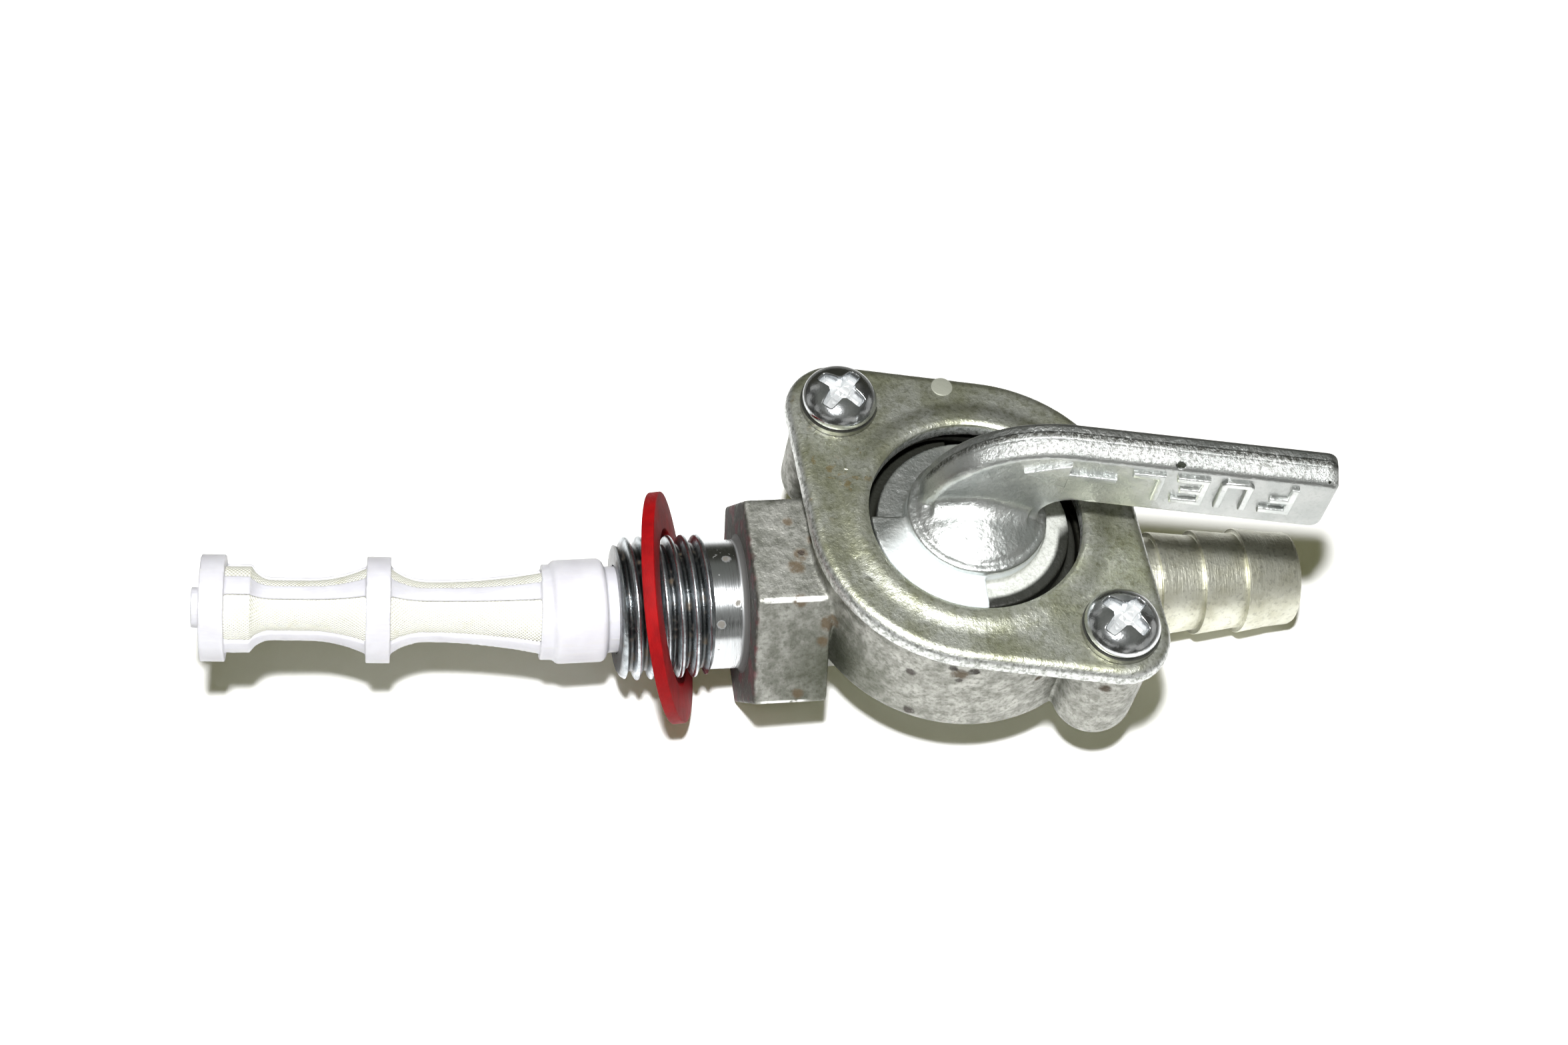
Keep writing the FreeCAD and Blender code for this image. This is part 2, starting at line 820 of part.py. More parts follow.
def make_cover_plate(doc, size):
    """Pressed plate with a raised collar round its window and two screw corners."""
    piece = Piece(doc, "cover_plate", (size.rotor_reach, ZERO, ZERO))
    base = (ZERO, ZERO, size.pot_rim)
    piece.pad("plate", piece.outline("plate_outline", "XY_Plane", plate_corners(size), base), size.plate_thickness)
    piece.soften("plate_edge", size.plate_edge_round, lambda edge: edge_is_level(edge, size.plate_top.value))
    raised = size.plate_thickness + size.collar_rise
    collar_radius = size.window_radius + size.collar_width
    collar = piece.circles("collar_circle", "XY_Plane", [(ZERO, ZERO)], collar_radius, base)
    piece.pad("collar", collar, raised)
    high = (ZERO, ZERO, size.pot_rim + raised)
    round_over = size.collar_rise * 0.9
    piece.soften("collar_edge", round_over, lambda edge: edge_is_level(edge, high[2].value))
    window = piece.circles("window_circle", "XY_Plane", [(ZERO, ZERO)], size.window_radius, high)
    piece.pocket("window", window, raised)
    hole = size.screw_shank_dia / 2 + size.screw_hole_gap
    holes = piece.circles("screw_circles", "XY_Plane", screw_spots(size), hole, high)
    piece.pocket("screw_holes", holes, raised)
    return piece


def plate_corners(size):
    """The main circle and the two corner circles, joined by their common tangents."""
    main = size.pot_radius + size.plate_overhang
    corner = size.lug_radius + size.plate_corner_margin
    tangent = ((main - corner) / size.screw_reach).arccos()
    corners = []
    for turn, spot in zip((0, 180), screw_spots(size)):
        low = size.screw_angle + turn - tangent
        high = size.screw_angle + turn + tangent
        corners.append(polar_point(main, low))
        corners.append((*polar_point(corner, low, spot), corner))
        corners.append(polar_point(corner, high, spot))
        corners.append((*polar_point(main, high), main))
    return corners


def make_wave_spring(doc, size):
    """Split wave washer between the rotor disc and the cover plate."""
    low = (size.disc_top + size.spring_clearance).value
    high = (size.pot_rim - size.spring_clearance - size.spring_thickness).value
    radii = size.spring_inner.value, size.spring_outer.value
    edges = [spring_edge(size, radius, (low + high) / 2, (high - low) / 2) for radius in radii]
    ribbon = Part.makeRuledSurface(edges[0], edges[1])
    spring = doc.addObject("Part::Feature", "wave_spring")
    spring.Label = "wave_spring"
    spring.Shape = ribbon.extrude(FreeCAD.Vector(0, 0, size.spring_thickness.value))
    spring.Placement = FreeCAD.Placement(FreeCAD.Vector(size.rotor_reach.value, 0, 0), FreeCAD.Rotation())
    return spring


def spring_edge(size, radius, middle, swing):
    """A wavy curve of one radius that stops short of itself at the split."""
    waves = SIZES["spring_waves"]
    half_split = math.radians(size.spring_split.value / 2)
    steps = waves * 12
    points = []
    for step in range(steps + 1):
        angle = half_split + step * (2 * math.pi - 2 * half_split) / steps
        height = middle + swing * math.cos(waves * angle)
        points.append(FreeCAD.Vector(radius * math.cos(angle), radius * math.sin(angle), height))
    curve = Part.BSplineCurve()
    curve.interpolate(points)
    return curve.toShape()


def make_lock_washers(doc, size):
    """One plain ring under each screw head."""
    piece = Piece(doc, "lock_washers", (size.rotor_reach, ZERO, ZERO))
    base = (ZERO, ZERO, size.plate_top)
    rings = piece.circles("washer_circles", "XY_Plane", screw_spots(size), size.lock_washer_radius, base)
    add_circles(rings, screw_spots(size), size.screw_shank_dia / 2 + size.screw_hole_gap)
    piece.pad("washers", rings, size.lock_washer_thickness)
    return piece


def make_cover_screws(doc, size):
    """Two pan-head screws with a cross recess, down through the plate into the lugs."""
    piece = Piece(doc, "cover_screws", (size.rotor_reach, ZERO, ZERO))
    base = (ZERO, ZERO, size.head_seat)
    heads = piece.circles("head_circles", "XY_Plane", screw_spots(size), size.head_dia / 2, base)
    piece.pad("heads", heads, size.head_height)
    top = size.head_seat + size.head_height
    piece.soften("head_crowns", size.head_crown, lambda edge: edge_is_level(edge, top.value))
    shanks = piece.circles("shank_circles", "XY_Plane", screw_spots(size), size.screw_shank_dia / 2, base)
    piece.pad("shanks", shanks, size.screw_shank_length, Reversed=True)
    half_length = size.recess_length / 2
    half_width = size.recess_width / 2
    for name, half_x, half_y in (("across", half_length, half_width), ("along", half_width, half_length)):
        slots = piece.sketch(f"recess_{name}_outline", "XY_Plane", (ZERO, ZERO, top))
        for x, y in screw_spots(size):
            add_loop(slots, rectangle(x, y, half_x, half_y))
        piece.pocket(f"recess_{name}", slots, size.recess_depth)
    return piece


def rectangle(x, y, half_x, half_y):
    return [
        (x - half_x, y - half_y),
        (x + half_x, y - half_y),
        (x + half_x, y + half_y),
        (x - half_x, y + half_y),
    ]


def make_sealing_washer(doc, size):
    """Fibre washer that hangs loosely on the thread. Its top leans towards the strainer."""
    place = (-(size.relief_length + size.washer_place), ZERO, -size.washer_sag)
    piece = Piece(doc, "sealing_washer", place, size.washer_turn)
    inner = size.thread_dia / 2 + size.washer_slack
    ring = piece.circles("washer_outline", "YZ_Plane", [(ZERO, ZERO)], inner + size.washer_width)
    add_circles(ring, [(ZERO, ZERO)], inner)
    lean = FreeCAD.Rotation(FreeCAD.Vector(-1, 0, 0), size.washer_lean.value)
    ring.AttachmentOffset = FreeCAD.Placement(FreeCAD.Vector(), lean)
    ring.setExpression("AttachmentOffset.Rotation.Angle", f"{size.washer_lean.formula} * 1 deg")
    piece.pad("washer", ring, size.washer_thickness, Midplane=True)
    return piece


def make_strainer_frame(doc, size):
    """Moulded cage of the strainer: stub, collar, two rings, four ribs and a closed end."""
    piece = Piece(doc, "strainer_frame")
    face = size.collar_face
    back = size.cage_start
    stub = size.inlet_bore_dia / 2 - size.stub_clearance
    collar = stub + size.strainer_collar_lip
    bore = stub - size.stub_wall
    shoulder = size.strainer_collar_round
    inner_end = size.thread_end + size.stub_length
    corners = [
        (back, bore),
        (inner_end, bore),
        (inner_end, stub),
        (face, stub),
        (face, collar - shoulder, shoulder),
        (face - shoulder, collar),
        (back + shoulder, collar, shoulder),
        (back, collar - shoulder),
    ]
    piece.turned("collar", piece.outline("collar_section", "XY_Plane", corners))
    bend = (size.cage_start, ZERO, ZERO)
    bands = outer_band(size, size.gauze_gap, size.rib_depth), inner_band(size, size.gauze_gap, size.rib_depth)
    for name, corners in zip(("outer_rib", "inner_rib"), bands):
        section = piece.outline(f"{name}_section", "XY_Plane", corners, bend, size.cage_bend)
        rib = piece.turned(name, section, size.rib_angle)
        piece.polar(f"{name}s", rib, (section, ["H_Axis"]), size.rib_count)
    add_rings(piece, size, bend)
    return piece


def add_rings(piece, size, bend):
    """The hem at the collar, the ring round the middle of the cage, and the closed end with its nub."""
    outer = size.ring_radius
    inner = size.cage_dia / 2 + size.gauze_gap
    hem = size.cage_dia / 2 + size.rib_depth + size.hem_lip
    corners = [
        (-size.hem_length, inner),
        (size.rib_root, inner),
        (size.rib_root, hem),
        (-size.hem_length, hem),
    ]
    piece.turned("hem", piece.outline("hem_section", "XY_Plane", corners, bend, size.cage_bend))
    corners = [
        (size.mid_ring_end, inner),
        (-size.inner_span, inner),
        (-size.inner_span, outer),
        (size.mid_ring_end, outer),
    ]
    piece.turned("mid_ring", piece.outline("mid_ring_section", "XY_Plane", corners, bend, size.cage_bend))
    face = size.end_ring_face
    back = face - size.ring_width
    corners = [
        (back - size.nub_length, ZERO),
        (face, ZERO),
        (face, outer),
        (back, outer),
        (back, size.nub_dia / 2),
        (back - size.nub_length, size.nub_dia / 2),
    ]
    piece.turned("end_ring", piece.outline("end_ring_section", "XY_Plane", corners, bend, size.cage_bend))


def flank_radius(run, rise):
    """Radius of an arc that leaves level and climbs the rise over the run."""
    return (run * run + rise * rise) / (rise * 2)


def outer_band(size, inner, outer):
    """Section of a thin wall from the closed end, down to the waist and up to the middle ring.
    It lies between two offsets from the cage's own curve."""
    land = size.cage_dia / 2
    rise = size.waist_depth
    waist = land - rise
    start = size.end_ring_face
    end = size.mid_ring_end
    fall = flank_radius(size.outer_fall, rise)
    climb = flank_radius(size.outer_rise, rise)
    knee = start + size.outer_land
    low = knee + size.outer_fall
    high = low + size.waist_length
    return [
        (start, land + outer),
        (knee, land + outer, fall),
        (low, waist + outer),
        (high, waist + outer, climb),
        (end, land + outer),
        (end, land + inner, -climb),
        (high, waist + inner),
        (low, waist + inner, -fall),
        (knee, land + inner),
        (start, land + inner),
    ]


def inner_band(size, inner, outer):
    """Section of a thin wall from the middle ring, steeply down to the waist and gently up to the collar."""
    land = size.cage_dia / 2
    rise = size.waist_depth
    waist = land - rise
    start = -size.inner_span
    low = start + size.inner_fall
    fall = flank_radius(size.inner_fall, rise)
    climb = flank_radius(size.inner_rise, rise)
    return [
        (start, land + outer, fall),
        (low, waist + outer, climb),
        (ZERO, land + outer),
        (size.rib_root, land + outer),
        (size.rib_root, land + inner),
        (ZERO, land + inner, -climb),
        (low, waist + inner, -fall),
        (start, land + inner),
    ]


def make_strainer_gauze(doc, size):
    """Fine gauze sleeve inside the ribs, in two waisted lengths joined in the middle ring."""
    piece = Piece(doc, "strainer_gauze")
    bend = (size.cage_start, ZERO, ZERO)
    wall = size.gauze_wall
    land = size.cage_dia / 2
    piece.turned("outer_sleeve", piece.outline(
        "outer_section", "XY_Plane", outer_band(size, -wall, ZERO), bend, size.cage_bend))
    corners = [
        (size.mid_ring_end, land - wall),
        (-size.inner_span, land - wall),
        (-size.inner_span, land),
        (size.mid_ring_end, land),
    ]
    piece.turned("middle_sleeve", piece.outline("middle_section", "XY_Plane", corners, bend, size.cage_bend))
    piece.turned("inner_sleeve", piece.outline(
        "inner_section", "XY_Plane", inner_sleeve(size, wall), bend, size.cage_bend))
    return piece


def inner_sleeve(size, wall):
    """The inner band's curve, stopped short of the collar, which stands at a slant to the cage."""
    land = size.cage_dia / 2
    rise = size.waist_depth
    waist = land - rise
    start = -size.inner_span
    low = start + size.inner_fall
    fall = flank_radius(size.inner_fall, rise)
    climb = flank_radius(size.inner_rise, rise)
    end = -size.gauze_end_gap
    run = end - low
    height = waist + climb - (climb * climb - run * run).root()
    return [
        (start, land, fall),
        (low, waist, climb),
        (end, height),
        (end, height - wall, -climb),
        (low, waist - wall, -fall),
        (start, land - wall),
    ]


MAKERS = (
    make_valve_body,
    make_port_seal,
    make_lever,
    make_cover_plate,
    make_wave_spring,
    make_lock_washers,
    make_cover_screws,
    make_sealing_washer,
    make_strainer_frame,
    make_strainer_gauze,
)


def main():
    doc = FreeCAD.newDocument("fuel_tap")
    size = Sheet(doc)
    parts = []
    for make in MAKERS:
        made = make(doc, size)
        parts.append(made.body if isinstance(made, Piece) else made)
    doc.recompute()
    for item in doc.Objects:
        if "Invalid" in item.State or "Error" in item.State:
            raise RuntimeError(f"{item.Label} failed: {item.getStatusString()}")
    for part in parts:
        if part.Shape.isNull() or not part.Shape.isValid():
            raise RuntimeError(f"{part.Label} has no valid shape")
    os.makedirs("parts", exist_ok=True)
    for part in parts:
        part.Shape.exportStep(os.path.join("parts", part.Label + ".step"))
        print(part.Label, len(part.Shape.Solids), round(part.Shape.Volume, 1))


main()
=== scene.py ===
import math

import bmesh
import bpy
from mathutils import Matrix, Vector


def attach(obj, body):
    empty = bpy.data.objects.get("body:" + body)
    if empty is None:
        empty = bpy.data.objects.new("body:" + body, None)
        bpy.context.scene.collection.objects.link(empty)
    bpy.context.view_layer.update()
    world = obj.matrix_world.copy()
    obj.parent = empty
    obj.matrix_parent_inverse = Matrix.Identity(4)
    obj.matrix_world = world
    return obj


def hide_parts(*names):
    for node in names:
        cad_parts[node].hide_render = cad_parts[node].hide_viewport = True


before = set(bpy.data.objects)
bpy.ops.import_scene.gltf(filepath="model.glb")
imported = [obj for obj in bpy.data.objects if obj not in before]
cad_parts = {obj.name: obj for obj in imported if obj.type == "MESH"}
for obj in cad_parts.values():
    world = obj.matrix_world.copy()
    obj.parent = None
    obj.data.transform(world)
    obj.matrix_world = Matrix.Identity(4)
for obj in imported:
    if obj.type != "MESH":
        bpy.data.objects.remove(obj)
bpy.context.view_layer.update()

MM = 0.001
ROTOR = Vector((15.2, 0, 0))
LEVER_TURN = -10.0
PLATE_TOP = 10.3
SCREW_REACH = 12.55
SCREW_ANGLES = (-49, 131)
CROSS_TURNS = (41, 47)
LOCK_WASHER = 0.5


# Shader maths

class Value:
    """One socket of a finish. Arithmetic on it adds Math nodes."""

    def __init__(self, finish, socket):
        self.finish = finish
        self.socket = socket

    def math(self, operation, first, second):
        return self.finish.node("Math", {0: first, 1: second}, operation=operation)

    def __add__(self, other):
        return self.math("ADD", self, other)

    def __sub__(self, other):
        return self.math("SUBTRACT", self, other)

    def __rsub__(self, other):
        return self.math("SUBTRACT", other, self)

    def __mul__(self, other):
        return self.math("MULTIPLY", self, other)

    __radd__ = __add__
    __rmul__ = __mul__

    def highest(self, other):
        return self.math("MAXIMUM", self, other)

    def rise(self, low, high):
        """0 up to the low value, 1 from the high value, and a soft rise between them."""
        ends = {0: self, 1: low, 2: high}
        return self.finish.node("MapRange", ends, interpolation_type="SMOOTHSTEP")


class Finish:
    """A material, or the world, with the methods that add its nodes."""

    def __init__(self, name, owner=None):
        self.owner = owner or bpy.data.materials.new(name)
        self.owner.use_nodes = True
        self.tree = self.owner.node_tree
        self.surface = self.tree.nodes.get("Principled BSDF")

    def node(self, kind, inputs=None, output=0, **settings):
        """Adds a node with its settings and its inputs, and gives one of its outputs."""
        made = self.tree.nodes.new("ShaderNode" + kind)
        for name, value in settings.items():
            setattr(made, name, value)
        for key, value in (inputs or {}).items():
            self.join(made.inputs[key], value)
        return Value(self, made.outputs[output])

    def join(self, socket, value):
        if isinstance(value, Value):
            self.tree.links.new(value.socket, socket)
        elif isinstance(value, tuple) and len(socket.default_value) == 4:
            socket.default_value = (*value, 1.0)
        else:
            socket.default_value = value

    def set(self, **sockets):
        """Sets or links sockets of the finish's own surface."""
        for name, value in sockets.items():
            self.join(self.surface.inputs[name.replace("_", " ")], value)

    def place(self, stretch=(1, 1, 1)):
        """The spot on the object in millimetres."""
        spot = self.node("TexCoord", output="Object")
        scale = tuple(1 / MM * factor for factor in stretch)
        return self.node("VectorMath", {0: spot, 1: scale}, operation="MULTIPLY")

    def grain(self, place, size, detail=3.0, rough=0.55):
        """Cloudy noise from 0 to 1 whose patches are about the given size in millimetres."""
        inputs = {"Vector": place, "Scale": 1 / size, "Detail": detail, "Roughness": rough}
        return self.node("TexNoise", inputs)

    def axis(self, place, name):
        return self.node("SeparateXYZ", {0: place}, output=name)

    def near(self, place, spot, radius, soft):
        """1 within the radius of a spot, falling to 0 over the soft distance."""
        away = self.node("VectorMath", {0: place, 1: spot}, output="Value", operation="DISTANCE")
        return 1 - away.rise(radius, radius + soft)

    def axis_distance(self, place):
        """How far a spot lies from the flow axis."""
        flat = self.node("VectorMath", {0: place, 1: (0, 1, 1)}, operation="MULTIPLY")
        return self.node("VectorMath", {0: flat}, output="Value", operation="LENGTH")

    def axle_distance(self, place):
        """How far a spot lies from the lever's turning axis."""
        spot = self.node("VectorMath", {0: place, 1: tuple(ROTOR)}, operation="SUBTRACT")
        flat = self.node("VectorMath", {0: spot, 1: (1, 1, 0)}, operation="MULTIPLY")
        return self.node("VectorMath", {0: flat}, output="Value", operation="LENGTH")

    def along(self, place, direction, start=(0, 0, 0)):
        """How far a spot lies from the start in a direction."""
        spot = self.node("VectorMath", {0: place, 1: start}, operation="SUBTRACT")
        return self.node("VectorMath", {0: spot, 1: direction}, output="Value", operation="DOT_PRODUCT")

    def tint(self, mask, first, second):
        """The first colour where the mask is 0 and the second where it is 1."""
        inputs = {0: mask, 6: first, 7: second}
        return self.node("Mix", inputs, output=2, data_type="RGBA", clamp_factor=True)

    def bump(self, height, depth, under=None):
        """A surface relief whose full height is the given depth in millimetres."""
        inputs = {"Height": height, "Distance": depth * MM, "Strength": 1.0}
        if under is not None:
            inputs["Normal"] = under
        return self.node("Bump", inputs)


def tone(red, green, blue):
    """A colour as the eye reads it, from 0 to 255, as the numbers the shader works in."""
    parts = [part / 255 for part in (red, green, blue)]
    return tuple(part / 12.92 if part <= 0.04045 else ((part + 0.055) / 1.055) ** 2.4 for part in parts)


# Finishes

def casting_finish():
    """Dull mottled die-cast metal with specks, a stained shoulder, painted shade by the hexagon and in the
    pot, and painted highlights with wear on two edges.
    """
    finish = Finish("die_cast")
    place = finish.place()
    clouds = finish.grain(place, 1.1, 5, 0.62)
    grain = finish.grain(place, 0.3, 3, 0.6)
    colour = finish.tint(clouds.rise(0.3, 0.7), tone(130, 131, 123), tone(186, 186, 180))
    colour = finish.tint(grain.rise(0.42, 0.75) * 0.6, colour, tone(96, 98, 88))
    # Painted shade: a dark patch in the hollow between the hexagon and the pot.
    hollow = finish.near(place, (5.9, -6.5, 2.0), 0.5, 6.0) * 0.8
    colour = finish.tint(hollow, colour, tone(70, 74, 56))
    # Painted shade: the inside of the pot below the window is painted near black.
    inside = finish.near(place, (ROTOR.x, 0, 9.1), 9.0, 0.4)
    colour = finish.tint(inside, colour, tone(36, 36, 30))
    rust = spot_mask(finish, place, RUST_SPOTS)
    colour = finish.tint(rust, colour, tone(78, 62, 38))
    dark = spot_mask(finish, place, DARK_SPOTS)
    colour = finish.tint(dark, colour, tone(52, 42, 36))
    stain = stain_mask(finish, place)
    blotch = finish.grain(place, 1.8, 2).rise(0.5, 0.64)
    colour = finish.tint(stain, colour, finish.tint(blotch, tone(48, 46, 40), tone(84, 34, 40)))
    # Painted highlight: bright lines on two hexagon edges, which also stand for edge wear.
    worn = highlight_and_wear_lines(finish, place)
    colour = finish.tint(worn, colour, tone(250, 250, 248))
    dull = rust.highest(dark).highest(stain)
    finish.set(Base_Color=colour, Metallic=(1 - dull.highest(worn) * 0.9) * 0.86)
    finish.set(Roughness=grain.rise(0.2, 0.8) * 0.14 + 0.46 + dull * 0.2)
    relief = finish.bump(grain, 0.03)
    relief = finish.bump(clouds, 0.09, relief)
    finish.set(Normal=finish.bump(1 - dark, 0.08, relief))
    return finish.owner


RUST_SPOTS = [
    ((3.44, -0.5, 7.0), 0.2, 0.5),
    ((3.04, -1.44, 7.0), 0.15, 0.7),
    ((4.4, 0.6, 7.0), 0.1, 0.5),
    ((2.9, 2.2, 7.0), 0.1, 0.4),
    ((2.97, -4.1, 6.9), 0.2, 0.45),
    ((5.05, -5.0, 5.3), 0.35, 0.5),
    ((4.7, -5.9, 4.2), 0.1, 0.6),
    ((3.1, -7.72, 0.63), 0.1, 0.5),
    ((18.6, -10.36, 5.75), 0.1, 0.3),
    ((12.8, -10.63, 7.4), 0.15, 0.7),
    ((22.6, -12.2, 7.2), 0.1, 0.5),
]
DARK_SPOTS = [
    ((3.5, -0.35, 7.0), 0.05, 0.3),
    ((9.86, -9.5, 6.04), 0.12, 0.35),
    ((12.27, -10.49, 8.0), 0.1, 0.3),
    ((13.69, -10.79, 7.93), 0.15, 0.35),
    ((10.48, -9.82, 1.28), 0.15, 0.4),
    ((12.9, -10.6, 6.6), 0.1, 0.25),
    ((0.05, -0.53, 6.9), 0.15, 0.4),
]
NECK_SPOTS = [
    ((-1.9, -3.38, 2.96), 0.1, 0.3),
    ((-0.73, -2.27, 3.88), 0.1, 0.25),
    ((-1.2, 1.0, 4.4), 0.1, 0.3),
]


def spot_mask(finish, place, spots):
    """Ragged specks, each with its place, its radius and the width of its soft edge."""
    ragged = finish.grain(place, 0.45, 4, 0.7)
    mask = None
    for spot, radius, soft in spots:
        one = finish.near(place, spot, radius, soft * 1.3)
        mask = one if mask is None else mask.highest(one)
    return (mask * (ragged * 2.2 - 0.25)).rise(0.15, 0.85) * 0.85


def stain_mask(finish, place):
    """The dark stain on the hexagon's shoulder, with a ragged border on its rim."""
    border = finish.axis(place, "X") + finish.grain(place, 0.7, 3, 0.6) * -0.5
    return (1 - border.rise(-0.22, 0.08)) * 0.94


def highlight_and_wear_lines(finish, place):
    """Painted highlight lines along two edges of the hexagon, which also stand for edge wear."""
    flat = finish.place((0, 1, 1))
    along = finish.axis(place, "X")
    length = along.rise(0.35, 0.8) * (1 - along.rise(4.2, 4.9))
    line = finish.near(flat, (0, -4.0, 6.93), 0.12, 0.12)
    line = line.highest(finish.near(flat, (0, -8.0, 0.0), 0.1, 0.12) * (1 - along.rise(3.2, 4.0)))
    return line * length * finish.grain(place, 0.8, 3, 0.6).rise(0.34, 0.5)


def thread_finish():
    """Bright machined threads with painted shade darkening their roots, and rust in patches there."""
    finish = Finish("machined_thread")
    place = finish.place()
    depth = finish.axis_distance(place)
    root = 1 - depth.rise(4.42, 4.8)
    blotch = finish.grain(place, 0.8, 4, 0.65)
    colour = finish.tint(blotch.rise(0.35, 0.7), tone(206, 212, 216), tone(150, 156, 160))
    rust = root * blotch.rise(0.5, 0.7)
    # Painted shade: the roots of the thread are darkened.
    colour = finish.tint(root * 0.85, colour, tone(46, 48, 48))
    colour = finish.tint(rust * 0.7, colour, tone(84, 66, 42))
    finish.set(Base_Color=colour)
    finish.set(Metallic=1 - rust * 0.8)
    finish.set(Roughness=blotch * 0.2 + 0.2)
    finish.set(Normal=finish.bump(finish.grain(place, 0.2, 3), 0.02))
    return finish.owner


def turned_finish():
    """Bright turned metal of the relief neck, with fine rings and brown specks, and painted shade darkening
    its root by the hexagon.
    """
    finish = Finish("bright_turned")
    place = finish.place()
    rings = finish.grain(finish.place((9, 0.4, 0.4)), 1.0, 3, 0.6)
    stray = finish.grain(place, 0.9, 3, 0.6).rise(0.66, 0.72)
    specks = spot_mask(finish, place, NECK_SPOTS).highest(stray)
    # Painted shade: the neck darkens towards its root at the hexagon.
    root = finish.axis(place, "X").rise(-0.5, -0.25)
    colour = finish.tint(rings, tone(214, 216, 218), tone(190, 194, 196))
    colour = finish.tint(specks * 0.9, colour, tone(72, 60, 34))
    colour = finish.tint(root * 0.9, colour, tone(50, 48, 44))
    finish.set(Base_Color=colour, Metallic=1 - specks.highest(root) * 0.8)
    finish.set(Roughness=rings * 0.1 + 0.16 + specks.highest(root) * 0.5)
    finish.set(Normal=finish.bump(rings, 0.02))
    return finish.owner


def barb_finish():
    """Dull grey machined barb with an olive film in patches."""
    finish = Finish("dull_barb")
    place = finish.place()
    clouds = finish.grain(place, 2.2, 3, 0.6)
    rings = finish.grain(finish.place((7, 0.5, 0.5)), 1.0, 3, 0.6)
    colour = finish.tint(clouds.rise(0.35, 0.7), tone(222, 222, 208), tone(194, 193, 174))
    fine = finish.grain(place, 0.3, 3)
    colour = finish.tint(fine.rise(0.5, 0.75) * 0.4, colour, tone(120, 118, 106))
    finish.set(Base_Color=colour, Metallic=0.95)
    finish.set(Roughness=clouds * 0.14 + 0.38)
    finish.set(Normal=finish.bump(fine, 0.03, finish.bump(rings, 0.03)))
    return finish.owner


def lever_finish():
    """Satin die-casting with a pitted ridge and dark chips, painted shade on the blade and at the hub's rim,
    and a hub that is duller on one side, with a painted sheen there and on the sector.
    """
    finish = Finish("satin_casting")
    place = finish.place()
    clouds = finish.grain(place, 2.0, 4, 0.6)
    grain = finish.grain(place, 0.26, 4, 0.7)
    colour = finish.tint(clouds.rise(0.3, 0.7), tone(196, 200, 198), tone(218, 220, 218))
    colour = finish.tint(grain.rise(0.5, 0.75) * 0.35, colour, tone(140, 141, 140))
    height = finish.axis(place, "Z")
    turn = math.radians(LEVER_TURN)
    across = finish.along(place, (-math.sin(turn), math.cos(turn), 0), tuple(ROTOR))
    # Painted shade: a dark mottled band along the back of the blade's top, fainter down its back face; its
    # grain also pits the surface.
    back = across.rise(0.8, 1.25) * height.rise(10.9, 13.0) * (1 - across.rise(1.38, 1.52) * 0.7)
    front = across.rise(-0.1, 0.1) * height.rise(15.5, 17.5) * (1 - across.rise(0.8, 1.1))
    colour = finish.tint(back * (grain.rise(0.3, 0.6) * 0.5 + 0.45), colour, tone(72, 72, 66))
    colour = finish.tint(front * grain.rise(0.46, 0.6) * 0.6, colour, tone(120, 120, 114))
    # Painted shade: the blade's front face greys towards its tip.
    face = across.rise(-0.34, -0.24) * (1 - across.rise(0.0, 0.3)) * height.rise(12.6, 13.4)
    tip = finish.along(place, (math.cos(turn), math.sin(turn), 0), tuple(ROTOR)).rise(4.0, 19.0)
    colour = finish.tint(face * (tip * 0.4 + 0.08), colour, tone(138, 140, 138))
    low = 1 - height.rise(10.25, 10.4)
    # Painted sheen: one side of the hub is lighter as well as duller, and the sector is painted near white.
    matt = low * (1 - finish.along(place, (-0.6, 0.8, 0), tuple(ROTOR)).rise(1.0, 3.6))
    sector = matt * height.rise(9.5, 9.9)
    hub = finish.tint(grain.rise(0.35, 0.7), tone(222, 224, 218), tone(184, 186, 178))
    colour = finish.tint(matt * 0.8, colour, hub)
    colour = finish.tint(sector, colour, tone(232, 238, 240))
    # Painted shade: a dark crescent on the hub's rim, and everything below the hub painted near black.
    rim = finish.axle_distance(place).rise(5.7, 6.05) * (1 - height.rise(9.5, 9.7))
    painted_shade_guide = rim * finish.along(place, (0.64, -0.77, 0), tuple(ROTOR)).rise(3.9, 5.0)
    deep_shade = (1 - height.rise(8.75, 9.1)).highest(painted_shade_guide)
    colour = finish.tint(deep_shade, colour, tone(34, 35, 30))
    chips = chip_mask(finish, place)
    colour = finish.tint(chips, colour, tone(38, 42, 32))
    dull = (matt * 0.65).highest(chips * 0.6).highest(front * 0.35).highest(deep_shade * 0.9)
    finish.set(Base_Color=colour, Metallic=1 - dull)
    finish.set(Roughness=grain * 0.14 + 0.27 + back * 0.1 + matt * 0.12)
    relief = finish.bump(grain, 0.035)
    relief = finish.bump(grain * back.highest(front), 0.09, relief)
    relief = finish.bump(finish.grain(place, 0.9, 2), 0.07, relief)
    finish.set(Normal=finish.bump(1 - chips, 0.1, relief))
    return finish.owner


def chip_mask(finish, place):
    """Dark chips on the lever's ridge and a pore near its tip."""
    ragged = finish.grain(place, 0.35, 3, 0.6)
    mask = finish.near(place, (27.1, -2.2, 18.9), 0.1, 0.75)
    mask = mask.highest(finish.near(place, (26.0, -2.1, 18.95), 0.0, 0.5))
    mask = mask.highest(finish.near(place, (37.0, -3.9, 18.7), 0.12, 0.14))
    return (mask * (ragged + 0.45)).rise(0.42, 0.6)


